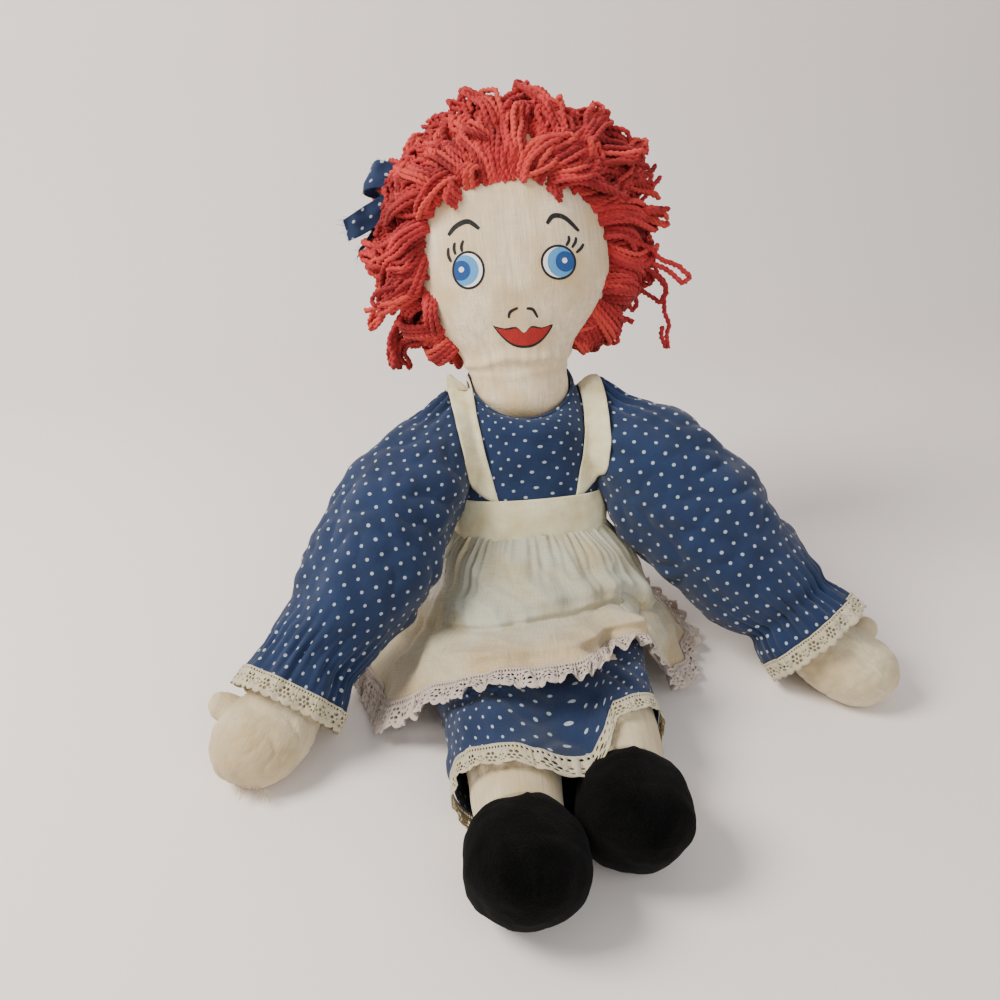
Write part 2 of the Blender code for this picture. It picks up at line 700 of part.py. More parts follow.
def skirt_point(rows, place, angle, offset):
    """A point at an angle round the skirt's row at a place, pushed out of the row by an offset."""
    front_y, front_z, back_y, back_z, half, shift, slant, power = smooth_row(rows, place)
    front = Vector((shift, front_y, front_z))
    back = Vector((shift, back_y, back_z))
    middle = (front + back) / 2
    rise = (front - back) / 2
    x, y = rounded(angle, half + offset, rise.length + offset, power)
    point = middle + ACROSS * x + rise.normalized() * y
    point.y += slant * (point.x - shift) / half
    return point


def skirt_fold(place, angle):
    """How far a fold of the dress skirt stands out, more towards the hem."""
    return SKIRT_FOLD_DEPTH * min(place / HEM_ROW, 1) * (1 + math.cos(SKIRT_FOLDS * angle))


def skirt_rings(rows, low, high, count, offset, floor):
    rings = []
    for step in range(count):
        place = low + (high - low) * step / (count - 1)
        ring = []
        for angle in angles(SHELL_SIDES):
            point = skirt_point(rows, place, angle, offset + skirt_fold(place, angle))
            point.z = max(point.z, floor)
            ring.append(point)
        rings.append(ring)
    return rings


def make_dress_skirt():
    """The dress's skirt, a tube from the waist over the lap and both legs, flat on the floor."""
    look = material("blue dotted cotton", (0.02, 0.07, 0.20), 0.9)
    rows = skirt_rows()
    seam = SEWN_GAP / SKIRT_LENGTH
    outer = skirt_rings(rows, seam * HEM_ROW, HEM_ROW, SKIRT_RINGS, COTTON, 0)
    inner = skirt_rings(rows, seam * HEM_ROW, HEM_ROW, SKIRT_RINGS, 0, COTTON)
    add_object("dress_skirt", shell_of(outer, inner), look, SEAT)


def make_skirt_hem_lace():
    """Eyelet lace sewn along the skirt's hem."""
    look = material("eyelet lace", (0.68, 0.58, 0.36), 0.9)
    rows = skirt_rows()
    low = HEM_ROW + SEWN_GAP / HEM_LACE_WIDTH
    outer = skirt_rings(rows, low, HEM_ROW + 1, 3, LACE, 0)
    inner = skirt_rings(rows, low, HEM_ROW + 1, 3, 0, LACE)
    add_object("skirt_hem_lace", shell_of(outer, inner), look, SEAT)


def sleeve_rows():
    """Places and radii down a sleeve, from its round cap over the shoulder to its frill."""
    rows = [(along, share * SLEEVE_CAP_RADIUS) for along, share in ball_rows(SLEEVE_CAP_RADIUS)]
    puff = ((0.10, 0.0), (0.24, 0.75), (0.42, 1.0), (0.60, 0.95), (0.76, 0.55), (0.87, 0.05))
    rows += [(share * SLEEVE_END, SLEEVE_ARMHOLE_RADIUS + size * (SLEEVE_PUFF_RADIUS - SLEEVE_ARMHOLE_RADIUS))
             for share, size in puff]
    rows.append((ELASTIC_AT, SLEEVE_ELASTIC_RADIUS))
    rows.append(((ELASTIC_AT + SLEEVE_END) / 2, (SLEEVE_ELASTIC_RADIUS + SLEEVE_FRILL_RADIUS) / 2))
    rows.append((SLEEVE_END, SLEEVE_FRILL_RADIUS))
    return rows


def round_arm(side, rows, shrink):
    """Rings round the straight part of an arm."""
    forward = arm_axis(side)
    across = forward.cross(UP).normalized()
    return [ring_of(shoulder_of(side) + forward * along, across, across.cross(forward), radius - shrink,
                    radius - shrink, 2, LIMB_SIDES + 6) for along, radius in rows]


def make_sleeve(side, bodice_room):
    """A full sleeve, gathered at the armhole and drawn in above the cuff."""
    look = material("blue dotted cotton", (0.02, 0.07, 0.20), 0.9)
    rows = sleeve_rows()
    outer = round_arm(side, rows, 0)
    inner = round_arm(side, rows, COTTON)
    shape = shell_of(outer, inner, closed_start=True)
    sleeve = add_object(side + "_sleeve", shape, look, shoulder_of(side))
    cut(sleeve, bodice_room)


def make_wrist_elastic(side):
    """The elastic sewn inside the sleeve, which gathers it above the frill."""
    look = material("elastic", (0.70, 0.66, 0.58), 0.8)
    outside = SLEEVE_ELASTIC_RADIUS - COTTON - SEWN_GAP
    rows = [(ELASTIC_AT - ELASTIC_WIDTH / 2, outside), (ELASTIC_AT + ELASTIC_WIDTH / 2, outside)]
    shape = shell_of(round_arm(side, rows, 0), round_arm(side, rows, ELASTIC_THICKNESS))
    add_object(side + "_wrist_elastic", shape, look, shoulder_of(side))


def make_cuff_lace(side):
    """Eyelet lace sewn to the end of the sleeve's frill."""
    look = material("eyelet lace", (0.68, 0.58, 0.36), 0.9)
    low = SLEEVE_END + SEWN_GAP
    high = SLEEVE_END + CUFF_LACE_WIDTH
    rows = [(low, SLEEVE_FRILL_RADIUS), (high, SLEEVE_FRILL_RADIUS + SEWN_GAP)]
    shape = shell_of(round_arm(side, rows, 0), round_arm(side, rows, LACE))
    add_object(side + "_cuff_lace", shape, look, shoulder_of(side))


def placket_up(share):
    """How far above the seat a share of the placket's length lies, from the waistband to the neckline."""
    low = WAISTBAND_LOW + WAISTBAND_HEIGHT + SEWN_GAP * 2
    high = TORSO_LENGTH - PLACKET_BELOW_NECKLINE
    return low + (high - low) * share


def make_placket():
    """The lapped edge of the dress's back opening, a strip down the middle of the back."""
    look = material("blue dotted cotton", (0.02, 0.07, 0.20), 0.9)
    inner = SEWN_GAP * 2 + COTTON
    grids = []
    for grow in (inner, inner + PLACKET_THICKNESS):
        grids.append([[torso_face(placket_up(row / PLACKET_ROWS), PLACKET_WIDTH * (column / PLACKET_COLUMNS - 0.5),
                                  grow, -1) for column in range(PLACKET_COLUMNS + 1)]
                      for row in range(PLACKET_ROWS + 1)])
    add_object("dress_placket", sheet_of(grids[1], grids[0]), look, SEAT)


def make_button(name, up, grow, look):
    """A small round button with a rounded rim, flat against the back."""
    point = torso_face(up, 0, grow, -1)
    outward = -TORSO_FRONT
    rows = ((0, 0.92), (0.3, 1.0), (0.75, 1.0), (1.0, 0.8))
    rings = [ring_of(point + outward * (share * BUTTON_THICKNESS), ACROSS, TORSO_UP, size * BUTTON_RADIUS,
                     size * BUTTON_RADIUS, 2, LIMB_SIDES) for share, size in rows]
    add_object(name, solid_of(rings), look, point)


def make_waistband():
    """The apron's waistband, a plain band round the waist, over the dress."""
    look = material("cream voile", (0.66, 0.61, 0.48), 0.85)
    inner_grow = COTTON + SEWN_GAP * 3
    high = WAISTBAND_LOW + WAISTBAND_HEIGHT
    outer = torso_rings(WAISTBAND_LOW, high, 4, inner_grow + WAISTBAND_THICKNESS)
    inner = torso_rings(WAISTBAND_LOW, high, 4, inner_grow)
    add_object("apron_waistband", shell_of(outer, inner), look, SEAT)


# Round the apron from its back edge on the left: angle in degrees, hem's row, flare and drop
APRON_SHARES = (
    (-52, 1.8, 0.45, 0.15),
    (-30, 2.5, 0.75, 0.60),
    (0, 3.5, 1.00, 0.95),
    (30, 4.2, 0.62, 0.40),
    (58, 4.7, 0.16, 0.06),
    (90, 4.9, 0.00, 0.00),
    (122, 5.3, 0.00, 0.00),
    (150, 5.5, 0.36, 0.30),
    (180, 5.3, 0.76, 1.00),
    (208, 3.4, 0.78, 0.60),
    (232, 1.9, 0.45, 0.10),
)


def apron_point(rows, round_share, down, thickness):
    """A point of the apron: a share of the way round it, and down it, where 1 is its hem."""
    degrees, hem, flare, drop = smooth_row(APRON_SHARES, round_share * (len(APRON_SHARES) - 1))
    angle = math.radians(degrees)
    place = hem * down
    fold = APRON_FOLD_DEPTH * min(down, 1) * (1 + math.cos(APRON_FOLDS * angle))
    away = (down - LAP_FOLD_SHARE) / LAP_FOLD_SPREAD_SHARE
    lap = LAP_FOLD_HEIGHT * math.exp(-away ** 2) * max(math.sin(angle), 0) ** 2
    top = COTTON + SEWN_GAP * 2
    offset = top + (APRON_CLEAR - top) * min(down / APRON_LIFT_SHARE, 1) + fold + lap + thickness
    point = skirt_point(rows, place, angle, offset)
    spread = (down / APRON_WHOLE_SHARE) ** APRON_SPREAD_POWER
    sideways = math.copysign(1, math.cos(angle))
    outward = Vector((sideways, max(-math.sin(angle), 0) * APRON_BACK_SHARE, 0)).normalized()
    point += outward * (APRON_FLARE * flare * spread)
    point.z += (APRON_LOWEST - point.z) * drop * spread
    return point


def apron_grids(low, high, count, columns, thickness):
    """Two grids of points, the apron's inside and its outside, which lie above the floor."""
    rows = skirt_rows()
    grids = []
    for extra in (0, thickness):
        grid = []
        for step in range(count):
            down = low + (high - low) * step / (count - 1)
            line = [apron_point(rows, column / columns, down, extra) for column in range(columns + 1)]
            for point in line:
                point.z = max(point.z, SEWN_GAP)
            grid.append(line)
        grids.append(grid)
    return grids


def make_apron_skirt():
    """The apron's gathered skirt of sheer voile, over the lap and down to the floor at the sides."""
    look = material("cream voile", (0.66, 0.61, 0.48), 0.85)
    inner, outer = apron_grids(0, 1, APRON_RINGS, APRON_COLUMNS, VOILE)
    add_object("apron_skirt", sheet_of(outer, inner), look, SEAT)


def make_apron_hem_lace():
    """Gathered lace along the apron's hem."""
    look = material("apron lace", (0.64, 0.52, 0.44), 0.85)
    low = 1 + SEWN_GAP * 3 / APRON_LENGTH
    inner, outer = apron_grids(low, APRON_WHOLE_SHARE, 3, APRON_COLUMNS, LACE)
    add_object("apron_hem_lace", sheet_of(outer, inner), look, SEAT)


def surface_of(pieces):
    """A tree of the faces of several finished pieces, for laying cloth on them."""
    graph = bpy.context.evaluated_depsgraph_get()
    points, faces = [], []
    for piece in pieces:
        made = piece.evaluated_get(graph)
        mesh = made.to_mesh()
        start = len(points)
        points += [made.matrix_world @ vert.co for vert in mesh.vertices]
        mesh.calc_loop_triangles()
        faces += [[start + vert for vert in face.vertices] for face in mesh.loop_triangles]
        made.to_mesh_clear()
    return BVHTree.FromPolygons(points, faces)


def make_strap(side, surface):
    """A shoulder strap, laid from the waistband in front over the shoulder to the band behind."""
    look = material("cream voile", (0.66, 0.61, 0.48), 0.85)
    band_top = WAISTBAND_LOW + WAISTBAND_HEIGHT + SEWN_GAP
    heart = SEAT + TORSO_UP * (band_top + STRAP_WIDTH * 2)
    far = HAIR_HALF_WIDTH * 2
    depth = torso_size(band_top)[1]
    start = math.atan2(STRAP_THICKNESS - STRAP_WIDTH * 2, depth)
    sign = SIDES[side]
    reaches = []
    for step in range(STRAP_STEPS + 1):
        share = step / STRAP_STEPS
        turn = start + (math.pi - 2 * start) * share
        outward = TORSO_FRONT * math.cos(turn) + TORSO_UP * math.sin(turn)
        over = math.sin(math.pi * share) ** STRAP_CURVE_POWER
        x = STRAP_AT_WAIST[side] + (STRAP_AT_SHOULDER - STRAP_AT_WAIST[side]) * over
        line = []
        for column in range(STRAP_COLUMNS + 1):
            across = ACROSS * (sign * x + STRAP_WIDTH * (column / STRAP_COLUMNS - 0.5))
            place, _, _, _ = surface.ray_cast(heart + across + outward * far, -outward)
            reach = (place - heart - across).dot(outward) if place else 0
            line.append(reach)
        reaches.append((across - ACROSS * (STRAP_WIDTH / 2), outward, line))
    grids = ([], [])
    for step, (middle, outward, line) in enumerate(reaches):
        near = reaches[max(step - 1, 0):step + 2]
        for grid, extra in zip(grids, (0, STRAP_THICKNESS)):
            row = []
            for column in range(STRAP_COLUMNS + 1):
                reach = max(
                    other[2][place] for other in near
                    for place in range(max(column - 1, 0), min(column + 2, STRAP_COLUMNS + 1))
                )
                along = ACROSS * (STRAP_WIDTH * (column / STRAP_COLUMNS - 0.5))
                row.append(heart + middle + along + outward * (reach + SEWN_GAP * 2 + extra))
            grid.append(row)
    add_object("apron_strap_" + side, sheet_of(grids[1], grids[0]), look, SEAT)


def make_bow(hair):
    """A scrap of the dress's cotton tied to the hair on the right: a knot, a loop and a tail."""
    look = material("blue dotted cotton", (0.02, 0.07, 0.20), 0.9)
    surface = surface_of([hair])
    middle = NECK + HEAD_UP * (HEAD_LENGTH * BOW_HEIGHT_SHARE) - HEAD_FRONT * HAIR_BACK_SET
    outward = (HEAD_UP * BOW_KNOT_UP_SHARE - HEAD_ACROSS).normalized()
    place, _, _, _ = surface.ray_cast(middle + outward * HAIR_HALF_WIDTH * 2, -outward)
    knot = place + outward * BOW_KNOT_RADIUS
    for _ in range(KNOT_SETTLING_STEPS):
        near, _, _, away = surface.find_nearest(knot)
        knot += (knot - near).normalized() * (BOW_KNOT_RADIUS + SEWN_GAP - away)
    level = outward.cross(HEAD_UP).normalized()
    rows = [(along, share) for along, share in ball_rows(BOW_KNOT_RADIUS)]
    rows += [(-along, share) for along, share in reversed(rows)]
    rings = [ring_of(knot + outward * along, level, outward.cross(level), share * BOW_KNOT_RADIUS,
                     share * BOW_KNOT_RADIUS, 2, LIMB_SIDES // 2 + 1) for along, share in rows]
    add_object("hair_bow_knot", solid_of(rings), look, knot)
    pieces = (("hair_bow_loop", 1, BOW_LENGTH, BOW_LOOP_OUT_SHARE),
              ("hair_bow_tail", -1, BOW_TAIL_LENGTH, BOW_TAIL_OUT_SHARE))
    shares = ((0, 0.35, 0.9), (0.2, 0.7, 1.3), (0.45, 1.0, 1.5), (0.7, 1.1, 1.2), (0.9, 1.05, 0.8), (1, 0.95, 0.6))
    for name, sign, length, spread in pieces:
        along_way = (HEAD_UP * sign + outward * spread - level * (BOW_BACK_SHARE * sign)).normalized()
        wide = along_way.cross(outward).normalized()
        start = knot + along_way * (BOW_KNOT_RADIUS + SEWN_GAP)
        rings = [ring_of(start + along_way * (share * length), wide, wide.cross(along_way), width * BOW_HALF_WIDTH,
                         thick * BOW_HALF_THICKNESS, 2.5, LIMB_SIDES) for share, width, thick in shares]
        add_object(name, solid_of(rings), look, knot)


def make_doll():
    for old in list(bpy.data.objects):
        bpy.data.objects.remove(old)
    make_torso()
    make_head()
    hair = make_hair()
    for side in SIDES:
        make_arm(side)
        make_leg(side)
        make_shoe(side)
    make_bodice()
    make_neck_binding()
    make_dress_skirt()
    make_skirt_hem_lace()
    room_grow = COTTON + SEWN_GAP * 2
    room_rings = torso_rings(WAIST_UP, TORSO_LENGTH, CHEST_RINGS, room_grow)
    room_rings.append(torso_ring(TORSO_LENGTH + BINDING_HEIGHT + SEWN_GAP * 2, room_grow))
    bodice_room = add_object("room for the bodice", solid_of(room_rings), None, SEAT)
    for side in SIDES:
        make_sleeve(side, bodice_room)
        make_wrist_elastic(side)
        make_cuff_lace(side)
    make_placket()
    shell = material("white button", (0.70, 0.68, 0.62), 0.4)
    on_placket = COTTON + SEWN_GAP * 3 + PLACKET_THICKNESS
    make_button("dress_button_upper", placket_up(UPPER_BUTTON_SHARE), on_placket, shell)
    make_button("dress_button_lower", placket_up(LOWER_BUTTON_SHARE), on_placket, shell)
    make_waistband()
    on_band = COTTON + SEWN_GAP * 4 + WAISTBAND_THICKNESS
    make_button("apron_button", WAISTBAND_LOW + WAISTBAND_HEIGHT / 2, on_band, shell)
    make_apron_skirt()
    make_apron_hem_lace()
    bpy.context.view_layer.update()
    for side in SIDES:
        clothes = [bpy.data.objects[name] for name in ("bodice", "neck_binding", "dress_placket", side + "_sleeve")]
        make_strap(side, surface_of(clothes))
    make_bow(hair)


make_doll()
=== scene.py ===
"""A rag doll in cloth, yarn and lace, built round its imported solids.

Metres, +Z up. The doll faces -Y and its own left side is +X. The sections follow the doll as
it is sewn: the stuffed body and its painted face, the yarn hair and its bow, the limbs and
felt feet, the dotted dress with its eyelet lace, and last the sheer apron.
"""
import json
import math
import random

import bpy
import numpy as np
from mathutils import Matrix, Vector, noise
from mathutils.bvhtree import BVHTree
from mathutils.geometry import delaunay_2d_cdt

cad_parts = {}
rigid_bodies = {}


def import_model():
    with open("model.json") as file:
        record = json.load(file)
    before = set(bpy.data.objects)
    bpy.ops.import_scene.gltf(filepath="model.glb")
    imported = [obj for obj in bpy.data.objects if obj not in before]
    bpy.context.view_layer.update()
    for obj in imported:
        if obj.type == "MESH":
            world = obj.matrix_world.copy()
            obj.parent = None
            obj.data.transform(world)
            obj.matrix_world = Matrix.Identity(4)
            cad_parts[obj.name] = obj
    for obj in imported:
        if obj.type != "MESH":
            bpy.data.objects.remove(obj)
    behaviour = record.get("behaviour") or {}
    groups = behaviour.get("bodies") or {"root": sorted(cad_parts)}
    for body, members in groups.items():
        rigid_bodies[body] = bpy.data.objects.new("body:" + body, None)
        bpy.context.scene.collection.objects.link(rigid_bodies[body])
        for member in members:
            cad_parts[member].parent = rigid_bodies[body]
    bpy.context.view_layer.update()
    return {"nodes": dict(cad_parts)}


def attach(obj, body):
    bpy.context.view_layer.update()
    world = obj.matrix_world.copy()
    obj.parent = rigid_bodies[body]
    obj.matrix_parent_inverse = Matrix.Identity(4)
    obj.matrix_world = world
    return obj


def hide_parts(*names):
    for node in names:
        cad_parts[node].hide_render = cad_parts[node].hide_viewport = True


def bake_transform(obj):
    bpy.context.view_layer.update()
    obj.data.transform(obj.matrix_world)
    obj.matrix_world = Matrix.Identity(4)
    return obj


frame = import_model()

# The stage: a pale floor that curves up into a plain backdrop, a large soft light from the
# upper left, a weaker one from the right, and the camera at the photograph's angle.
FLOOR_HALF = 2.2
BACKDROP_DISTANCE = 0.95
SWEEP_RADIUS = 0.35
SWEEP_STEPS = 12
LIT_PLACE = Vector((0, -0.03, 0.15))
CAMERA_PLACE = Vector((-0.1316, -0.5464, 0.397))
CAMERA_AIM = Vector((0.170, 0.8746, -0.454))
CAMERA_LENS = 34.2

# Each light's place, size, power in watts and colour
LIGHTS = {"window light": ((-1.0, -0.1, 1.15), 0.6, 31, (1.0, 0.95, 0.88)),
          "front light": ((0.5, -1.5, 1.0), 1.3, 13, (1.0, 0.98, 0.96))}
ROOM_COLOUR = (0.94, 0.95, 1.0, 1)
ROOM_STRENGTH = 0.52


def linear(red, green, blue):
    """A colour given on the 0 to 255 scale, as the linear light that shaders use."""
    shares = [value / 255 for value in (red, green, blue)]
    return tuple(s / 12.92 if s <= 0.04045 else ((s + 0.055) / 1.055) ** 2.4 for s in shares)


def darker(colour, share):
    return tuple(value * share for value in colour)


def plain_finish(name, colour, roughness):
    finish = bpy.data.materials.new(name)
    finish.use_nodes = True
    shader = finish.node_tree.nodes["Principled BSDF"]
    shader.inputs["Base Color"].default_value = (*colour, 1)
    shader.inputs["Roughness"].default_value = roughness
    return finish


def in_scene(name, data):
    made = bpy.data.objects.new(name, data)
    bpy.context.scene.collection.objects.link(made)
    return made


def mesh_piece(name, vertices, faces, finish, places=None):
    """A smooth mesh in one finish. Its places, if given, are where each corner is on the flat cloth."""
    mesh = bpy.data.meshes.new(name)
    mesh.from_pydata(vertices, [], faces)
    if places is not None:
        layer = mesh.uv_layers.new(name="Cloth")
        layer.data.foreach_set("uv", np.array(places, dtype=np.float32).ravel())
    mesh.materials.append(finish)
    mesh.shade_smooth()
    return in_scene(name, mesh)


def floor_and_backdrop():
    profile = [(-FLOOR_HALF, 0), (BACKDROP_DISTANCE - SWEEP_RADIUS, 0)]
    for step in range(1, SWEEP_STEPS + 1):
        turn = math.pi / 2 * step / SWEEP_STEPS
        profile.append((BACKDROP_DISTANCE - SWEEP_RADIUS + SWEEP_RADIUS * math.sin(turn),
                        SWEEP_RADIUS * (1 - math.cos(turn))))
    profile.append((BACKDROP_DISTANCE, FLOOR_HALF))
    vertices = [(x, y, z) for y, z in profile for x in (-FLOOR_HALF, FLOOR_HALF)]
    faces = [(2 * i, 2 * i + 1, 2 * i + 3, 2 * i + 2) for i in range(len(profile) - 1)]
    paper = plain_finish("matt paper", linear(240, 232, 226), 0.9)
    mesh_piece("floor and backdrop", vertices, faces, paper)


floor_and_backdrop()
for name, (place, size, power, colour) in LIGHTS.items():
    lamp = bpy.data.lights.new(name, "AREA")
    lamp.size = size
    lamp.energy = power
    lamp.color = colour
    light = in_scene(name, lamp)
    light.location = place
    light.rotation_euler = (LIT_PLACE - light.location).to_track_quat("-Z", "Y").to_euler()
world = bpy.data.worlds.new("soft room light")
world.use_nodes = True
world.node_tree.nodes["Background"].inputs["Color"].default_value = ROOM_COLOUR
world.node_tree.nodes["Background"].inputs["Strength"].default_value = ROOM_STRENGTH
bpy.context.scene.world = world
lens = bpy.data.cameras.new("camera")
lens.lens = CAMERA_LENS
camera = in_scene("camera", lens)
camera.location = CAMERA_PLACE
camera.rotation_euler = CAMERA_AIM.to_track_quat("-Z", "Y").to_euler()
bpy.context.scene.camera = camera

# The torso: a bag of unbleached muslin, stuffed hard. It leans back, and the dress hides all
# of it but the top edge round the neck.
TORSO_LEAN = math.radians(17)
SEAT = Vector((0, 0.0056, 0.038))
TORSO_LENGTH = 0.133
TORSO_BELOW_SEAT = 0.036
TORSO_TOP_HIDDEN = 0.022
TORSO_HALF_WIDTH = 0.050
TORSO_HALF_DEPTH = 0.037
TORSO_POWER = 2.4
TORSO_UP = Vector((0, math.sin(TORSO_LEAN), math.cos(TORSO_LEAN)))
TORSO_FRONT = Vector((0, -math.cos(TORSO_LEAN), math.sin(TORSO_LEAN)))
ACROSS = Vector((1, 0, 0))
UP = Vector((0, 0, 1))
MUSLIN_COLOUR = linear(212, 197, 163)
MUSLIN_STAIN = linear(184, 160, 116)

# Shares of the torso's length above the seat, half-width and half-depth
TORSO_SHARES = ((-0.257, 0.50, 0.42), (-0.21, 0.78, 0.74), (-0.11, 0.95, 0.94), (0.04, 1.00, 1.00),
                (0.22, 0.99, 0.99), (0.42, 0.96, 0.96), (0.62, 0.92, 0.93), (0.78, 0.87, 0.91),
                (0.90, 0.83, 0.89), (0.96, 0.80, 0.87), (1.00, 0.76, 0.84))


class Link:
    """A node's output in a finish. Sums with numbers and other links add Math nodes."""

    def __init__(self, finish, socket):
        self.finish = finish
        self.socket = socket

    def sum(self, operation, first, second=0.0):
        return self.finish.node("ShaderNodeMath", {"operation": operation}, {0: first, 1: second})

    def __add__(self, other):
        return self.sum("ADD", self, other)

    def __sub__(self, other):
        return self.sum("SUBTRACT", self, other)

    def __rsub__(self, other):
        return self.sum("SUBTRACT", other, self)

    def __mul__(self, other):
        return self.sum("MULTIPLY", self, other)

    def __truediv__(self, other):
        return self.sum("DIVIDE", self, other)

    def __mod__(self, other):
        return self.sum("FLOORED_MODULO", self, other)

    def __pow__(self, other):
        return self.sum("POWER", self, other)

    def kept(self):
        """The value held between 0 and 1."""
        return self.finish.node("ShaderNodeClamp", {}, {"Value": self})

    __radd__ = __add__
    __rmul__ = __mul__


class Finish:
    """A cloth finish on one Principled shader, with its constants set on the shader's sockets."""

    def __init__(self, name, roughness, sheen):
        self.material = bpy.data.materials.new(name)
        self.material.use_nodes = True
        self.tree = self.material.node_tree
        self.shader = self.tree.nodes["Principled BSDF"]
        constants = {"Roughness": roughness, "Sheen Weight": sheen, "Sheen Roughness": 0.6,
                     "Specular IOR Level": 0.25}
        for socket, value in constants.items():
            self.shader.inputs[socket].default_value = value

    def node(self, kind, settings=None, values=None, out=0):
        """Adds a node: its settings first, then its sockets by name or number."""
        made = self.tree.nodes.new(kind)
        for name, value in (settings or {}).items():
            setattr(made, name, value)
        for name, value in (values or {}).items():
            if isinstance(value, Link):
                self.tree.links.new(value.socket, made.inputs[name])
            else:
                made.inputs[name].default_value = value
        return Link(self, made.outputs[out])

    def place(self, turn=None):
        """Where a point is on the piece itself, in directions turned with its threads."""
        point = self.node("ShaderNodeTexCoord", out="Object")
        if not turn:
            return point
        back = turn.inverted().to_euler("XYZ")
        return self.node("ShaderNodeMapping", {}, {"Vector": point, "Rotation": back})

    def cloth(self):
        """Where a point is on the flat cloth, in metres."""
        return self.node("ShaderNodeUVMap", {"uv_map": "Cloth"})

    def cloud(self, place, scale, detail=2.0):
        """Soft noise about 0.5, with a scale per metre for each direction."""
        stretched = self.node("ShaderNodeVectorMath", {"operation": "MULTIPLY"}, {0: place, 1: scale})
        return self.node("ShaderNodeTexNoise", {}, {"Vector": stretched, "Scale": 1.0, "Detail": detail})

    def swing(self, *parts):
        """The sum of clouds about zero, each given as its place, scale, detail and strength."""
        total = None
        for place, scale, detail, strength in parts:
            part = (self.cloud(place, scale, detail) - 0.5) * strength
            total = total + part if total else part
        return total

    def mixed(self, mask, first, second):
        values = {}
        for socket, colour in ((6, first), (7, second)):
            values[socket] = colour if isinstance(colour, Link) else (*colour, 1)
        return self.node("ShaderNodeMix", {"data_type": "RGBA"}, {0: mask, **values}, out=2)

    def feed(self, height=None, bump=0.0004, **links):
        for name, link in links.items():
            self.tree.links.new(link.socket, self.shader.inputs[name.replace("_", " ")])
        if height:
            normal = self.node("ShaderNodeBump", {}, {"Height": height, "Distance": bump, "Strength": 1.0})
            self.tree.links.new(normal.socket, self.shader.inputs["Normal"])
        return self.material


def muslin(name, colour, stain, turn=None, stain_share=0.5):
    """Plain woven cotton with thick and thin threads that run up the piece, and old stains."""
    finish = Finish(name, 0.92, 0.2)
    place = finish.place(turn)
    warp, weft = (place, (1150, 1150, 40), 3, 0.7), (place, (90, 90, 1300), 2, 0.5)
    slubs, streaks = (place, (520, 520, 16), 2, 0.7), (place, (340, 340, 9), 2, 0.7)
    threads = finish.swing(warp, weft, slubs, streaks)
    blotches = finish.swing((place, (22, 22, 22), 3, 4), (place, (60, 60, 60), 2, 1.2))
    shade = finish.mixed((blotches + stain_share).kept(), colour, stain)
    woven = finish.mixed((threads * 1.7 + 0.3).kept(), shade, darker(colour, 0.68))
    return finish.feed(height=threads, bump=0.0004, Base_Color=woven)


def smooth_row(rows, place):
    """The row at a fractional place in a table, on a smooth curve through its rows."""
    last = len(rows) - 1
    low = min(int(max(place, 0)), last - 1)
    share = place - low
    before, first, second, after = (rows[min(max(low + step, 0), last)] for step in (-1, 0, 1, 2))
    return [b + share * (c - a) / 2 + share ** 2 * (a - 5 * b / 2 + 2 * c - d / 2)
            + share ** 3 * ((d - a) / 2 + 3 * (b - c) / 2)
            for a, b, c, d in zip(before, first, second, after)]


def rounded(angle, half_x, half_y, power):
    """A point at an angle of a superellipse: power 2 is an ellipse, more is squarer."""
    x, y = math.cos(angle), math.sin(angle)
    exponent = 2 / power
    return half_x * math.copysign(abs(x) ** exponent, x), half_y * math.copysign(abs(y) ** exponent, y)


def ring(centre, across, forward, half_x, half_y, power, sides, floor=None):
    points = []
    for step in range(sides):
        x, y = rounded(2 * math.pi * step / sides, half_x, half_y, power)
        point = centre + across * x + forward * y
        if floor is not None and point.z < floor:
            point.z = floor
        points.append(point)
    return points


def outward_of(grid, closed):
    """Unit normals of a grid of points, row by row."""
    down = np.gradient(grid, axis=0)
    if closed:
        along = np.roll(grid, -1, axis=1) - np.roll(grid, 1, axis=1)
    else:
        along = np.gradient(grid, axis=1)
    normals = np.cross(along, down)
    return normals / np.maximum(np.linalg.norm(normals, axis=2, keepdims=True), 1e-12)


def rumple(grid, size, seed):
    """Smooth random heights from about -1 to 1, with waves about a size apart."""
    flat = grid.reshape(-1, 3) / size + seed
    return np.array([noise.noise(Vector(point)) for point in flat]).reshape(grid.shape[:2]) * 1.6


def pushed_out(grid, closed, height):
    """The grid with each point moved along its normal by its own height."""
    return grid + outward_of(grid, closed) * height[..., None]


def settle(piece):
    """Applies a piece's modifiers and smooths it."""
    graph = bpy.context.evaluated_depsgraph_get()
    final = bpy.data.meshes.new_from_object(piece.evaluated_get(graph))
    piece.modifiers.clear()
    piece.data = final
    final.shade_smooth()
    return piece


def thickened(piece, thick):
    wall = piece.modifiers.new("cloth", "SOLIDIFY")
    wall.thickness = thick
    wall.offset = 0


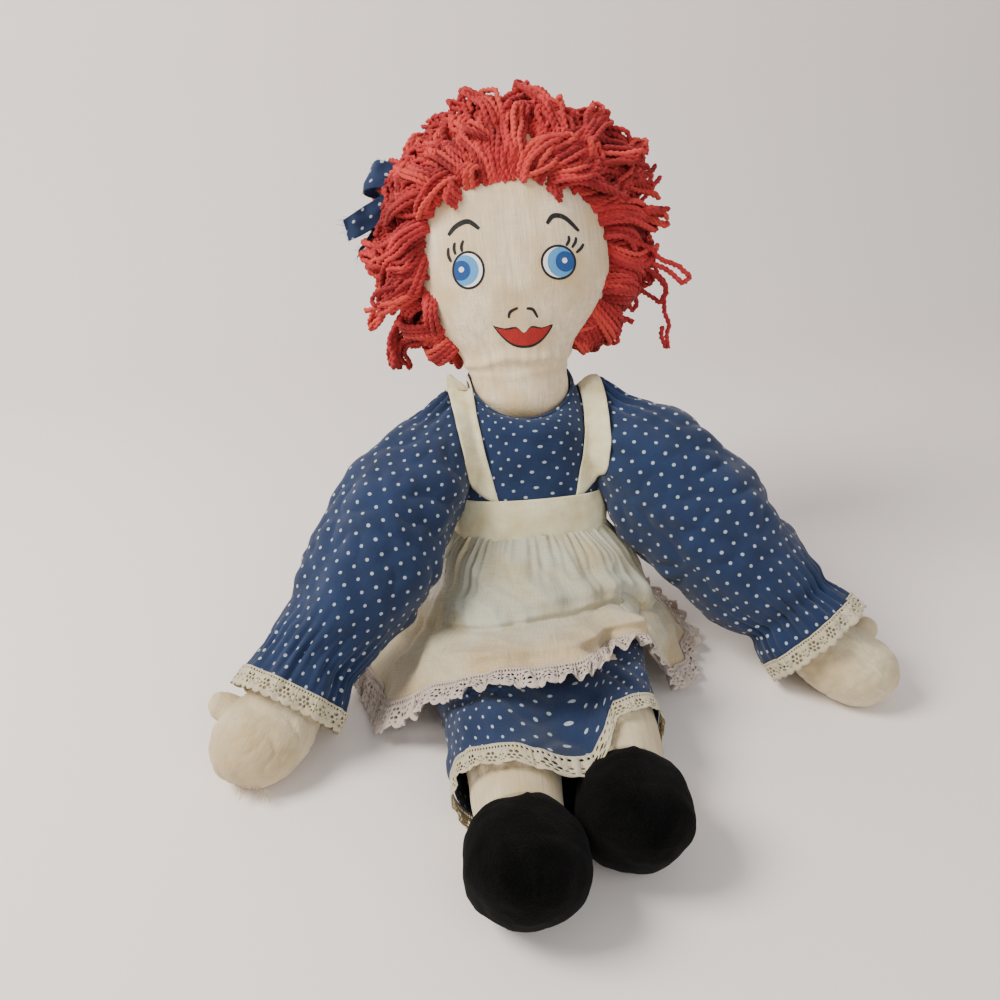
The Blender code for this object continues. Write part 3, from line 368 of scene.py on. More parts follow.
def cloth_piece(name, grid, closed, size, finish, ends=False, thick=0.0):
    """A mesh through a grid of points, with a UV map of the flat cloth's size in metres."""
    rows, columns = grid.shape[:2]
    vertices = [tuple(point) for point in grid.reshape(-1, 3)]
    across = columns if closed else columns - 1
    faces, places = [], []
    for row in range(rows - 1):
        for column in range(across):
            after = (column + 1) % columns
            faces.append((row * columns + column, row * columns + after,
                          (row + 1) * columns + after, (row + 1) * columns + column))
            left, right = size[0] * column / across, size[0] * (column + 1) / across
            low, high = size[1] * row / (rows - 1), size[1] * (row + 1) / (rows - 1)
            places += [(left, low), (right, low), (right, high), (left, high)]
    if ends:
        faces.append(tuple(range(columns)))
        faces.append(tuple(range((rows - 1) * columns, rows * columns)))
        places += [(0, 0)] * (2 * columns)
    piece = mesh_piece(name, vertices, faces, finish, places)
    if thick:
        thickened(piece, thick)
    return settle(piece)


def fixed(piece, body, slot, *nodes):
    """Fixes a piece to its body and hides any solids it stands for. The slot, naming the finish it takes, is
    not used.
    """
    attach(piece, body)
    if nodes:
        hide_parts(*nodes)


def torso_size(up):
    """Half-width and half-depth of the torso at a distance above the seat."""
    share = up / TORSO_LENGTH
    last = len(TORSO_SHARES) - 2
    place = next((place for place in range(last) if share <= TORSO_SHARES[place + 1][0]), last)
    low, high = TORSO_SHARES[place][0], TORSO_SHARES[place + 1][0]
    _, width, depth = smooth_row(TORSO_SHARES, place + min((share - low) / (high - low), 1))
    return width * TORSO_HALF_WIDTH, depth * TORSO_HALF_DEPTH


def torso_grid(low, high, rows, sides, grow, floor=None):
    grid = []
    for row in range(rows):
        up = low + (high - low) * row / (rows - 1)
        width, depth = torso_size(up)
        grid.append(ring(SEAT + TORSO_UP * up, ACROSS, TORSO_FRONT, width + grow, depth + grow,
                         TORSO_POWER, sides, floor))
    return np.array(grid)


plain_muslin = muslin("unbleached muslin", MUSLIN_COLOUR, MUSLIN_STAIN)
torso_skin = torso_grid(-TORSO_BELOW_SEAT, TORSO_LENGTH - TORSO_TOP_HIDDEN, 40, 64, -0.0004, floor=0.0015)
torso = cloth_piece("torso_bag", torso_skin, True, (0.3, 0.17), plain_muslin, ends=True)
fixed(torso, "torso", "muslin", "torso")

# The head: one flat bag of muslin, stuffed hard and gathered where it meets the neck. The face
# is painted on it in thin black lines, blue, white and red.
NECK = Vector((-0.002, 0.048, 0.174))
NECK_HALF_WIDTH = 0.033
NECK_RADIUS = 0.028
HEAD_YAW = math.radians(-11)
HEAD_LENGTH = 0.178
HEAD_HALF_WIDTH = 0.062
HEAD_HALF_DEPTH = 0.045
HEAD_TURN = (Matrix.Rotation(HEAD_YAW, 3, "Z") @ Matrix.Rotation(math.radians(-22), 3, "X")
             @ Matrix.Rotation(math.radians(-6.5), 3, "Y"))
HEAD_UP = HEAD_TURN @ UP
HEAD_ACROSS = HEAD_TURN @ ACROSS
HEAD_FRONT = HEAD_TURN @ Vector((0, -1, 0))
FACE_COLOUR = linear(233, 214, 180)
FACE_STAIN = linear(208, 176, 122)
PAINT_LIFT = 0.00009

# Shares of the head's length, half-width and half-depth, above the neck's middle
HEAD_SHARES = ((0.00, 0.52, 0.61), (0.07, 0.53, 0.625), (0.14, 0.62, 0.69), (0.24, 0.84, 0.83),
               (0.36, 0.96, 0.94), (0.50, 1.00, 1.00), (0.64, 0.97, 1.00), (0.78, 0.85, 0.91),
               (0.89, 0.63, 0.70), (0.96, 0.36, 0.42), (1.00, 0.08, 0.10))
NECK_BALL_STEPS = 12

# How much wider the stuffing makes the head on its left, as a share, and where up the head
FULLER_SHARE = 0.115
FULLER_AT = 0.078
FULLER_SPAN = 0.042


def ball_rows(radius, steps):
    """Places and shares of a round end, from near its pole to short of its widest ring."""
    turns = [math.pi / 2 * (step + 0.5) / (steps - 0.5) for step in range(steps - 1)]
    return [(-math.cos(turn) * radius, math.sin(turn)) for turn in turns]


def head_grid(rows, sides):
    turn = Matrix.Rotation(HEAD_YAW, 3, "Z")
    ahead = turn @ Vector((0, -1, 0))
    grid = [ring(NECK + UP * along, turn @ ACROSS, ahead, share * NECK_HALF_WIDTH,
                 share * NECK_RADIUS, 2, sides) for along, share in ball_rows(NECK_RADIUS, NECK_BALL_STEPS)]
    for row in range(rows):
        along, width, depth = smooth_row(HEAD_SHARES, row * (len(HEAD_SHARES) - 1) / (rows - 1))
        lean = min(along / HEAD_SHARES[2][0], 1)
        forward = ahead.lerp(HEAD_FRONT, lean).normalized()
        grid.append(ring(NECK + HEAD_UP * (along * HEAD_LENGTH), HEAD_ACROSS, forward,
                         width * HEAD_HALF_WIDTH, depth * HEAD_HALF_DEPTH, 2 + 0.2 * lean, sides))
    return np.array(grid)


def neck_gathers(grid, ball_count):
    """Small puckers where the bag is drawn in at the chin, strongest in the crease."""
    rows, sides = grid.shape[:2]
    angle = np.linspace(0, 2 * math.pi, sides, endpoint=False)
    share = np.clip((np.arange(rows) - ball_count) / (rows - ball_count - 1), 0, 1)[:, None]
    wander = 0.006 * np.cos(3 * angle + 1) + 0.004 * np.cos(7 * angle)
    crease = np.exp(-((share - 0.150 - wander) / 0.020) ** 2)
    second = np.exp(-((share - 0.095 + wander) / 0.013) ** 2)
    puckered = np.exp(-((share - 0.165) / 0.055) ** 2)
    waves = sum(np.cos(count * angle + count * 1.7) for count in (17, 22, 29, 37)) / 4
    return puckered * waves * 0.0008 - crease * 0.0019 - second * 0.0006


head_skin = head_grid(130, 160)
head_skin = pushed_out(head_skin, True, neck_gathers(head_skin, NECK_BALL_STEPS - 1)
                       + rumple(head_skin, 0.026, 3) * 0.0006 + rumple(head_skin, 0.008, 8) * 0.00016)
stuffed = (head_skin - np.array(NECK)) @ np.array([HEAD_ACROSS, HEAD_UP]).T
fuller = FULLER_SHARE * np.exp(-((stuffed[..., 1] - FULLER_AT) / FULLER_SPAN) ** 4)
fuller *= np.maximum(stuffed[..., 0], 0)
head_skin += fuller[..., None] * np.array(HEAD_ACROSS)
face_muslin = muslin("face muslin", FACE_COLOUR, FACE_STAIN, HEAD_TURN, stain_share=0.3)
head = cloth_piece("head_bag", head_skin, True, (0.36, 0.2), face_muslin, ends=True)
fixed(head, "head", "face_muslin", "head")


def inside(outline, points):
    """Which of the points lie inside a closed outline."""
    points = np.asarray(points, float)
    found = np.zeros(len(points), bool)
    for (x1, y1), (x2, y2) in zip(outline, outline[1:] + outline[:1]):
        if y1 == y2:
            continue
        crosses = (y1 > points[:, 1]) != (y2 > points[:, 1])
        found ^= crosses & (points[:, 0] < (x2 - x1) * (points[:, 1] - y1) / (y2 - y1) + x1)
    return found


def cut_flat(outline, holes, spacing):
    """Points and triangles of a flat piece cut to an outline, with holes in it."""
    points, edges = [], []
    for loop in [outline, *holes]:
        start = len(points)
        points += loop
        edges += [(start + step, start + (step + 1) % len(loop)) for step in range(len(loop))]
    border = np.array(points)
    low, high = border.min(0), border.max(0)
    steps = [np.arange(a + spacing / 2, b, spacing) for a, b in zip(low, high)]
    filling = np.array([(x, y) for y in steps[1] for x in steps[0]]).reshape(-1, 2)
    if len(filling):
        wanted = inside(outline, filling)
        for hole in holes:
            wanted &= ~inside(hole, filling)
        filling = filling[wanted]
        if len(filling):
            away = np.linalg.norm(filling[:, None] - border[None], axis=2).min(1)
            filling = filling[away > spacing * 0.45]
    every = [Vector(point) for point in points + [tuple(point) for point in filling]]
    made, _, faces, _, _, _ = delaunay_2d_cdt(every, edges, [], 0, 1e-9)
    flat = np.array([tuple(point) for point in made])
    middles = np.array([flat[list(face)].mean(0) for face in faces])
    wanted = inside(outline, middles)
    for hole in holes:
        wanted &= ~inside(hole, middles)
    return flat, [face for face, keep in zip(faces, wanted) if keep]


def touch_tree(*pieces):
    """The surface of some pieces, as a tree that lines can be cast at."""
    points, faces = [], []
    for piece in pieces:
        start = len(points)
        points += [piece.matrix_world @ vertex.co for vertex in piece.data.vertices]
        faces += [[start + corner for corner in face.vertices] for face in piece.data.polygons]
    return BVHTree.FromPolygons(points, faces)


head_tree = touch_tree(head)


def on_face(x, up, lift):
    """The point of the face at a place across and up it, lifted off the cloth."""
    start = NECK + HEAD_ACROSS * x + HEAD_UP * up + HEAD_FRONT * 0.1
    place, normal, _, _ = head_tree.ray_cast(start, -HEAD_FRONT)
    if normal.dot(HEAD_FRONT) < 0:
        normal = -normal
    return place + normal * lift


def ellipse(x, up, half_x, half_up, steps=40):
    angles = (2 * math.pi * step / steps for step in range(steps))
    return [(x + half_x * math.cos(angle), up + half_up * math.sin(angle)) for angle in angles]


def stroke(points, width, steps=26):
    """The outline of a brush line through points, thin at both ends."""
    line = [smooth_row(points, (len(points) - 1) * step / steps) for step in range(steps + 1)]
    left, right = [], []
    for step, (x, y) in enumerate(line):
        (x1, y1), (x2, y2) = line[max(step - 1, 0)], line[min(step + 1, steps)]
        size = math.hypot(x2 - x1, y2 - y1)
        half = width / 2 * (0.5 + 0.5 * max(math.sin(math.pi * step / steps), 0) ** 0.5)
        left.append((x - (y2 - y1) / size * half, y + (x2 - x1) / size * half))
        right.append((x + (y2 - y1) / size * half, y - (x2 - x1) / size * half))
    return left + right[::-1]


def paint(name, colour):
    """Fabric paint, which sinks into the cloth and shows its threads."""
    finish = Finish(name, 0.7, 0.1)
    place = finish.place(HEAD_TURN)
    warp = finish.cloud(place, (1150, 1150, 40), 3)
    worn = ((finish.cloud(place, (300, 300, 120), 3) - 0.62) * 5).kept()
    faded = tuple(value * 0.5 + 0.12 for value in colour)
    shade = finish.mixed(worn * 0.5 + (warp - 0.5) * 0.4, colour, faded)
    return finish.feed(height=warp, bump=0.0003, Base_Color=shade)


black_paint = paint("black fabric paint", linear(22, 20, 24))
white_paint = paint("white fabric paint", linear(238, 236, 232))
pale_blue_paint = paint("pale blue fabric paint", linear(84, 150, 200))
deep_blue_paint = paint("deep blue fabric paint", linear(24, 72, 134))
red_paint = paint("red fabric paint", linear(160, 30, 26))


def painted(name, outlines, finish, layer=1, spacing=0.0016):
    """Shapes painted on the face, drawn in millimetres across and up from the neck's middle."""
    vertices, faces = [], []
    for outline in outlines:
        flat, triangles = cut_flat([(x / 1000, up / 1000) for x, up in outline], [], spacing)
        start = len(vertices)
        vertices += [on_face(x, up, PAINT_LIFT * (1 + layer)) for x, up in flat]
        faces += [[start + corner for corner in face] for face in triangles]
    fixed(mesh_piece(name, vertices, faces, finish), "head", "face_muslin")


def held_in(outline, x, up, half_x, half_up):
    """An outline drawn in to an ellipse where it would pass it."""
    result = []
    for px, py in outline:
        far = math.hypot((px - x) / half_x, (py - up) / half_up)
        result.append((x + (px - x) / max(far, 1), up + (py - up) / max(far, 1)))
    return result


# Each eye's middle and half sizes, its pale and deep blue rounds and its light, in millimetres
EYES = {"right": ((-25.4, 74.0, 10.4, 11.7), (-28.2, 74.2, 9.3), (-30.0, 74.4, 6.0), (-29.6, 75.0, 1.7)),
        "left": ((31.4, 72.6, 11.4, 10.7), (33.6, 72.6, 9.3), (35.6, 72.8, 6.2), (35.2, 73.4, 1.7))}
EYE_LINE = 1.5
for side, (white, pale, deep, light) in EYES.items():
    inner = (white[0], white[1], white[2] - EYE_LINE, white[3] - EYE_LINE)
    painted(side + "_eye_line", [ellipse(*white)], black_paint, 1)
    painted(side + "_eye_white", [ellipse(*inner)], white_paint, 2)
    painted(side + "_eye_pale_blue", [held_in(ellipse(*pale, pale[2]), *inner)], pale_blue_paint, 3)
    painted(side + "_eye_deep_blue", [held_in(ellipse(*deep, deep[2]), *inner)], deep_blue_paint, 4)
    painted(side + "_eye_light", [ellipse(*light, light[2], 16)], white_paint, 5, 0.001)

# The lines of the face, as points in millimetres, and their widths
BROWS = ([(-35.4, 97.0), (-30, 101.6), (-22.2, 103.2), (-15.7, 97.8)],
         [(26.4, 96.2), (31.0, 100.8), (38.2, 99.4), (46.6, 91.0)])
BROW_WIDTH = 3.1
LASHES = ([(-36.4, 89.6), (-36.9, 85), (-35.6, 80.6)], [(-31.9, 92.0), (-32.8, 88.5), (-32.3, 84.6)],
          [(-26.4, 92.4), (-28.0, 89), (-28.0, 85.6)], [(39.4, 88.4), (39.4, 85.4), (37.2, 82.2)],
          [(44.2, 87.2), (43.4, 84.2), (40.8, 80.8)], [(48.8, 83.2), (46.8, 80.4), (43.2, 77.6)])
LASH_WIDTH = 2.0
NOSTRILS = ([(-3.6, 42.0), (-2.2, 45.6), (2.9, 47.6)], [(8.2, 46.6), (12.2, 45.6), (14.8, 40.4)])
NOSTRIL_WIDTH = 1.9
LIPS = [(-12.6, 37.4), (-6, 35.2), (1.0, 35.2), (5.2, 31.8), (9.8, 34.8), (16, 33.6), (22.6, 34.6),
        (17.5, 28.6), (11.5, 25.0), (5.0, 24.2), (-2, 26.0), (-8, 31.0)]
painted("brows", [stroke(points, BROW_WIDTH) for points in BROWS], black_paint)
painted("lashes", [stroke(points, LASH_WIDTH, 10) for points in LASHES], black_paint)
painted("nose", [stroke(points, NOSTRIL_WIDTH, 14) for points in NOSTRILS], black_paint)
lip_line = [(x + (x - 5) * 0.10, up + (up - 31) * 0.24) for x, up in LIPS]
for name, outline, colour, layer in (("lip_line", lip_line, black_paint, 1), ("lips", LIPS, red_paint, 2)):
    curve = [tuple(smooth_row(outline + outline[:1], step / 3)) for step in range(3 * len(LIPS))]
    painted(name, [curve], colour, layer)

# The hair: loops of red two-ply wool sewn to the head in rows, the first along the hairline.
# Each loop runs out and back again in a clump with its neighbours, over a knotted red cap.
HAIR_MIDDLE = NECK + HEAD_UP * 0.113 - HEAD_FRONT * 0.012
YARN_RADIUS = 0.0020
YARN_STEP = 0.00125
YARN_TWIST = 0.0078
YARN_LOBE_SHARE = 0.19
LOOPS_IN_CLUMP = 3
LOOP_PITCH = 0.0034
LOOP_HALF_GAP = 0.0019
LOOP_SHORTEST = 0.022
HAIR_SIZES = (72, 48)
HAIR_LOW = math.radians(36)
CAP_SHARE = 0.84
REAR_LOOP_DROP = 0.042

# The hairline from one jaw over the forehead to the other, in millimetres across and up the head
HAIRLINE = ((-43, 30), (-47, 40), (-50.5, 53), (-52.8, 71), (-52.9, 89), (-50.4, 103), (-44.3, 114),
            (-34.8, 121.2), (-23.5, 124.5), (-12, 125.1), (0.4, 125.3), (12.9, 125.9), (25.3, 123.9),
            (36.6, 121.5), (47, 117.5), (56.5, 109), (63, 97), (66.5, 84), (66.5, 68), (62, 50), (55, 37),
            (46, 27))
FACE_MIDDLE = (2, 84)
HAIRLINE_COUNTS = (31, 30, 31)
HAIRLINE_ROW_GAP = 3.4

# Rows of loops behind the hairline, as angles back from the face, over the head and on the cap
CROWN_ROWS = (36, 44, 52, 60, 69, 78, 88)
REAR_ROWS = (84, 95, 106, 117, 128, 139, 150, 160, 169, 177)

# Strands that have come loose on the doll's left: millimetres across, up and forward
STRAY_STRANDS = (
    ((78, 88, 6), (92, 82, 4), (105, 72, 0), (117, 66, -6), (123, 61, -9), (119, 57, -9), (112, 62, -5),
     (98, 71, 0), (82, 78, 2)),
    ((80, 80, 4), (94, 74, 2), (103, 60, -6), (105, 44, -12), (107, 28, -20), (106, 15, -25), (103, 17, -25),
     (102, 30, -18)),
    ((76, 74, 6), (90, 69, 2), (99, 62, 0), (105, 52, -6), (101, 44, -8), (95, 50, -4), (84, 60, 0)))


def hair_direction(back, turn):
    """The direction from the hair's middle at an angle back from the face and a turn round it."""
    beside = HEAD_ACROSS * math.cos(turn) + HEAD_UP * math.sin(turn)
    return HEAD_FRONT * math.cos(back) + beside * math.sin(back)


hair_tree = touch_tree(frame["nodes"]["hair"])


def hair_reaches():
    """How far the hair's solid reaches from its middle, for a table of directions."""
    turns, backs = HAIR_SIZES
    table = np.zeros((backs, turns))
    for row in range(backs):
        back = HAIR_LOW + (math.pi - HAIR_LOW) * row / (backs - 1)
        for column in range(turns):
            way = hair_direction(back, 2 * math.pi * column / turns)
            place, _, _, _ = hair_tree.ray_cast(HAIR_MIDDLE + way * 0.3, -way)
            table[row, column] = (place - HAIR_MIDDLE).dot(way) if place else 0.055
    for _ in range(3):
        table = (table * 2 + np.roll(table, 1, 1) + np.roll(table, -1, 1)) / 4
        table[1:-1] = (table[1:-1] * 2 + table[:-2] + table[2:]) / 4
    return table


REACHES = hair_reaches()


def hair_reach(back, turn):
    """The table's value between its places."""
    turns, backs = HAIR_SIZES
    row = np.clip((back - HAIR_LOW) / (math.pi - HAIR_LOW) * (backs - 1), 0, backs - 1.001)
    column = (turn % (2 * math.pi)) / (2 * math.pi) * turns
    r, c = row.astype(int), column.astype(int) % turns
    dr, dc = row - r, column - np.floor(column)
    c2 = (c + 1) % turns
    return ((REACHES[r, c] * (1 - dc) + REACHES[r, c2] * dc) * (1 - dr)
            + (REACHES[r + 1, c] * (1 - dc) + REACHES[r + 1, c2] * dc) * dr)


def one_reach(back, turn):
    return float(hair_reach(np.array([back]), np.array([turn]))[0])


def hair_bearing(point):
    """The angle back from the face and the turn at which a point is seen from the hair's middle."""
    way = (Vector(point) - HAIR_MIDDLE).normalized()
    return math.acos(max(min(way.dot(HEAD_FRONT), 1), -1)), math.atan2(way.dot(HEAD_UP), way.dot(HEAD_ACROSS))


def square_to(line, other):
    """The direction square to two lines, or to the first and upwards where they are in line."""
    across = line.cross(other)
    return (across if across.length > 1e-5 else line.cross(UP)).normalized()


def yarn_loop(draw, root, rise, tip, arrive):
    """A loop's path: out from its root along a bent line to its tip, round, and back beside itself."""
    share = np.linspace(0, 1, 52)
    out = np.sin(math.pi * share) ** 0.9
    size = (tip - root).length
    a, b, c, d = (np.array(point)[None]
                  for point in (root, root + rise * size * 0.5, tip - arrive * size * 0.5, tip))
    t = out[:, None]
    middle = (1 - t) ** 3 * a + 3 * t * (1 - t) ** 2 * b + 3 * t ** 2 * (1 - t) * c + t ** 3 * d
    axis = (tip - root).normalized()
    beside = Matrix.Rotation(draw.uniform(-0.9, 0.9), 3, axis) @ square_to(tip - root, rise)
    other = axis.cross(beside)
    swing = np.cos(math.pi * share)
    away = -np.sign(swing) * np.abs(swing) ** 0.4 * LOOP_HALF_GAP * (0.75 + 0.5 * out)
    twist = draw.uniform(-1.9, 1.9) * out
    path = middle + np.array(beside)[None] * (away * np.cos(twist))[:, None] \
        + np.array(other)[None] * (away * np.sin(twist))[:, None]
    for number in range(3):
        for count, height in ((1.3, 0.0016), (2.7, 0.0010), (5.3, 0.0005)):
            path[:, number] += height * out * np.sin(2 * math.pi * count * share + draw.uniform(0, 6.3))
    return path


def evenly(path, step):
    """The path's points set at an even step along it."""
    lengths = np.r_[0, np.cumsum(np.linalg.norm(np.diff(path, axis=0), axis=1))]
    count = max(int(lengths[-1] / step), 8)
    wanted = np.linspace(0, lengths[-1], count)
    return np.stack([np.interp(wanted, lengths, path[:, axis]) for axis in range(3)], 1)


def strands(name, paths, radius, sides, draw, finish):
    """Two-ply yarn along paths: a two-lobed section that turns as it goes."""
    vertices, faces, places = [], [], []
    lobes = 2 * math.pi * np.arange(sides) / sides
    base = 0
    for number, path in enumerate(paths):
        ahead = np.gradient(path, axis=0)
        ahead /= np.linalg.norm(ahead, axis=1, keepdims=True)
        side = np.zeros_like(path)
        first = np.cross(ahead[0], (0.3, 0.5, 0.8))
        side[0] = first / np.linalg.norm(first)
        for step in range(1, len(path)):
            turned = side[step - 1] - ahead[step] * side[step - 1].dot(ahead[step])
            side[step] = turned / np.linalg.norm(turned)
        other = np.cross(ahead, side)
        along = np.arange(len(path)) * np.linalg.norm(path[1] - path[0])
        turn = along * 2 * math.pi / YARN_TWIST + draw.uniform(0, 6)
        size = radius * draw.uniform(0.9, 1.1)
        shape = size * (1 - YARN_LOBE_SHARE + YARN_LOBE_SHARE * np.cos(2 * lobes))
        angle = turn[:, None] + lobes[None, :]
        rings = path[:, None] + (side[:, None] * np.cos(angle)[..., None]
                                 + other[:, None] * np.sin(angle)[..., None]) * shape[None, :, None]
        vertices.append(rings.reshape(-1, 3))
        rows = np.arange(len(path) - 1)[:, None] * sides + base
        columns = np.arange(sides)[None, :]
        after = (columns + 1) % sides
        quads = np.stack([rows + columns, rows + after, rows + sides + after, rows + sides + columns], 2)
        faces.append(quads.reshape(-1, 4))
        places.append(np.repeat([[draw.random(), number % 7]], quads.size, axis=0))
        base += len(path) * sides
    return mesh_piece(name, np.concatenate(vertices).tolist(), np.concatenate(faces).tolist(), finish,
                      np.concatenate(places))


def wool(name, dark, light):
    """Red wool yarn, a little lighter and more orange on some strands, with a soft halo."""
    finish = Finish(name, 0.95, 0.45)
    finish.shader.inputs["Sheen Tint"].default_value = (*linear(240, 130, 120), 1)
    strand = finish.node("ShaderNodeSeparateXYZ", {}, {0: finish.cloth()})
    place = finish.place()
    fibres = finish.cloud(place, (2400, 2400, 2400), 4)
    patches = finish.swing((place, (38, 38, 38), 2, 1.6))
    bright = ((fibres - 0.5) * 1.3 + patches + strand * 0.8 + 0.02).kept()
    shade = finish.mixed(bright, dark, light)
    faded = ((strand - 0.74) * 6).kept() * 0.5
    shade = finish.mixed(faded, shade, linear(206, 78, 62))
    return finish.feed(height=fibres, bump=0.0006, Base_Color=shade)


def near(turn, middle, span):
    """How near a turn round the head is to a place on it: 1 there and 0 far from it."""
    return math.exp(-(math.remainder(turn - middle, 2 * math.pi) / span) ** 2)


def sideways(turn):
    """The hair stands out farther on the doll's left and by the jaws, and a little less on its right."""
    return (1 + 0.19 * near(turn, 0.35, 0.75) - 0.05 * near(turn, 2.4, 0.6)
            + 0.20 * max(near(turn, -0.75, 0.5), near(turn, -2.45, 0.5)))


def clump(draw, root, normal, back, turn, poke):
    """A few loops side by side, from one place on the head to one near the hair's outside."""
    tip = HAIR_MIDDLE + hair_direction(back, turn) * (one_reach(back, turn) * poke - YARN_RADIUS)
    line = tip - root
    if line.length < LOOP_SHORTEST:
        tip = root + line.normalized() * LOOP_SHORTEST
        line = tip - root
    across = square_to(line, normal)
    bend = across * draw.gauss(0, 0.45)
    rise = (normal * draw.uniform(0.6, 1.1) + line.normalized() * 0.5 + bend).normalized()
    arrive = (line.normalized() * 0.9 - bend * 0.9 + normal * draw.uniform(-0.7, 0.1)).normalized()
    loops = []
    for number in range(LOOPS_IN_CLUMP):
        aside = (number - (LOOPS_IN_CLUMP - 1) / 2) * LOOP_PITCH
        start = root + across * aside - normal * 0.001
        end = tip + across * aside * draw.uniform(0.8, 1.5) + line.normalized() * draw.uniform(-0.006, 0.001)
        loops.append(yarn_loop(draw, start, rise, end, arrive))
    return loops


def on_head(root):
    """The point of the head's front at a place, moved in towards the face if the head isn't there."""
    middle = NECK + HEAD_UP * 0.075
    for _ in range(12):
        if head_tree.ray_cast(root + HEAD_FRONT * 0.2, -HEAD_FRONT)[0]:
            break
        root += (middle - root) * 0.04
    return head_tree.ray_cast(root + HEAD_FRONT * 0.2, -HEAD_FRONT)[0] or root


def hairline_loops(draw):
    loops = []
    last = len(HAIRLINE) - 1
    for row, count in enumerate(HAIRLINE_COUNTS):
        for number in range(count):
            place = last * (number + 0.5 * row + draw.uniform(-0.15, 0.15)) / (count - 0.3)
            x, up = smooth_row(HAIRLINE, min(max(place, 0), last))
            outward = (HEAD_ACROSS * (x - FACE_MIDDLE[0]) + HEAD_UP * (up - FACE_MIDDLE[1])).normalized()
            x += row * HAIRLINE_ROW_GAP * outward.dot(HEAD_ACROSS)
            up += row * HAIRLINE_ROW_GAP * outward.dot(HEAD_UP)
            root = on_head(NECK + HEAD_ACROSS * (x / 1000) + HEAD_UP * (up / 1000))
            low = min(max((70 - up) / 40, 0), 1)
            normal = (HEAD_FRONT * (0.75 - 0.5 * low) + outward * (0.55 + 0.4 * low)).normalized()
            back, turn = hair_bearing(root)
            back = min(back + draw.uniform(0.25, 0.60) + row * 0.12 + low * 0.2, 2.2)
            reach = draw.uniform(0.86, 1.0) * sideways(turn)
            loops += clump(draw, root, normal, back, turn + draw.gauss(0, 0.16), reach)
    return loops


def crown_loops(draw):
    """Rows of loops over the head, left out below the jaws and inside the hairline."""
    loops = []
    edge = sorted((math.atan2(up - FACE_MIDDLE[1], x - FACE_MIDDLE[0]) % (2 * math.pi),
                   math.hypot(up - FACE_MIDDLE[1], x - FACE_MIDDLE[0])) for x, up in HAIRLINE)
    for back in CROWN_ROWS:
        level = math.sin(math.radians(back))
        count = max(int(level * 36), 5)
        for number in range(count):
            turn = 2 * math.pi * (number + draw.uniform(-0.3, 0.3)) / count
            angle = math.radians(back) + draw.uniform(-0.06, 0.06)
            way = hair_direction(angle, turn)
            root, normal, _, _ = head_tree.ray_cast(HAIR_MIDDLE, way)
            out = root - NECK
            x, height = out.dot(HEAD_ACROSS) * 1000 - FACE_MIDDLE[0], out.dot(HEAD_UP) * 1000
            rise = height - FACE_MIDDLE[1]
            line = np.interp(math.atan2(rise, x) % (2 * math.pi), *zip(*edge))
            if height < 24 or (math.hypot(rise, x) < line + 3 and out.dot(HEAD_FRONT) > 0):
                continue
            if normal.dot(way) < 0:
                normal = -normal
            normal = (normal + way).normalized()
            poke = (1.09 if draw.random() < 0.12 else draw.uniform(0.92, 1.03)) * sideways(turn)
            tip_back = min(angle + draw.uniform(0.05, 0.42), 3.1)
            loops += clump(draw, root, normal, tip_back, turn + draw.gauss(0, 0.20) / max(level, 0.4), poke)
    return loops


def rear_loops(draw):
    """Rows of loops on the cap behind, each falling over the row below."""
    loops = []
    for row, back in enumerate(REAR_ROWS):
        level = math.sin(math.radians(back))
        count = max(int(level * 27), 5)
        for number in range(count):
            turn = 2 * math.pi * (number + 0.5 * (row % 2) + draw.uniform(-0.25, 0.25)) / count
            angle = math.radians(back) + draw.uniform(-0.05, 0.05)
            way = hair_direction(angle, turn)
            root = HAIR_MIDDLE + way * (one_reach(angle, turn) * CAP_SHARE - 0.003)
            if (root - NECK).dot(HEAD_UP) < 0.008:
                continue
            loose = Vector([draw.uniform(-1, 1) for _ in range(3)])
            fall = way * 0.25 - UP * 0.55 - HEAD_FRONT * 0.5 * level + loose * 0.55
            tip_back, tip_turn = hair_bearing(root + fall * REAR_LOOP_DROP)
            loops += clump(draw, root, way, min(tip_back, 3.12), tip_turn, draw.uniform(0.98, 1.04))
    return loops


def stray_strand(points):
    path = []
    for step in range(41):
        x, up, ahead = smooth_row(points, (len(points) - 1) * step / 40)
        point = HEAD_ACROSS * x + HEAD_UP * up + HEAD_FRONT * ahead
        loose = noise.noise_vector(point / 9) * 2.6 + noise.noise_vector(point / 3.5) * 0.8
        path.append(tuple(NECK + (point + loose) / 1000))
    return np.array(path)


def hair_cap():
    """The lumpy mass of wool under the loops, a little inside the hair's solid."""
    grid = []
    for back in np.linspace(HAIR_LOW + 0.15, math.pi - 0.02, 46):
        turns = np.linspace(0, 2 * math.pi, 96, endpoint=False)
        reach = hair_reach(np.full(len(turns), back), turns) * CAP_SHARE
        reach = np.minimum(reach, 0.05 + 0.05 * (back - HAIR_LOW))
        grid.append([HAIR_MIDDLE + hair_direction(back, turn) * far for turn, far in zip(turns, reach)])
    return np.array(grid)


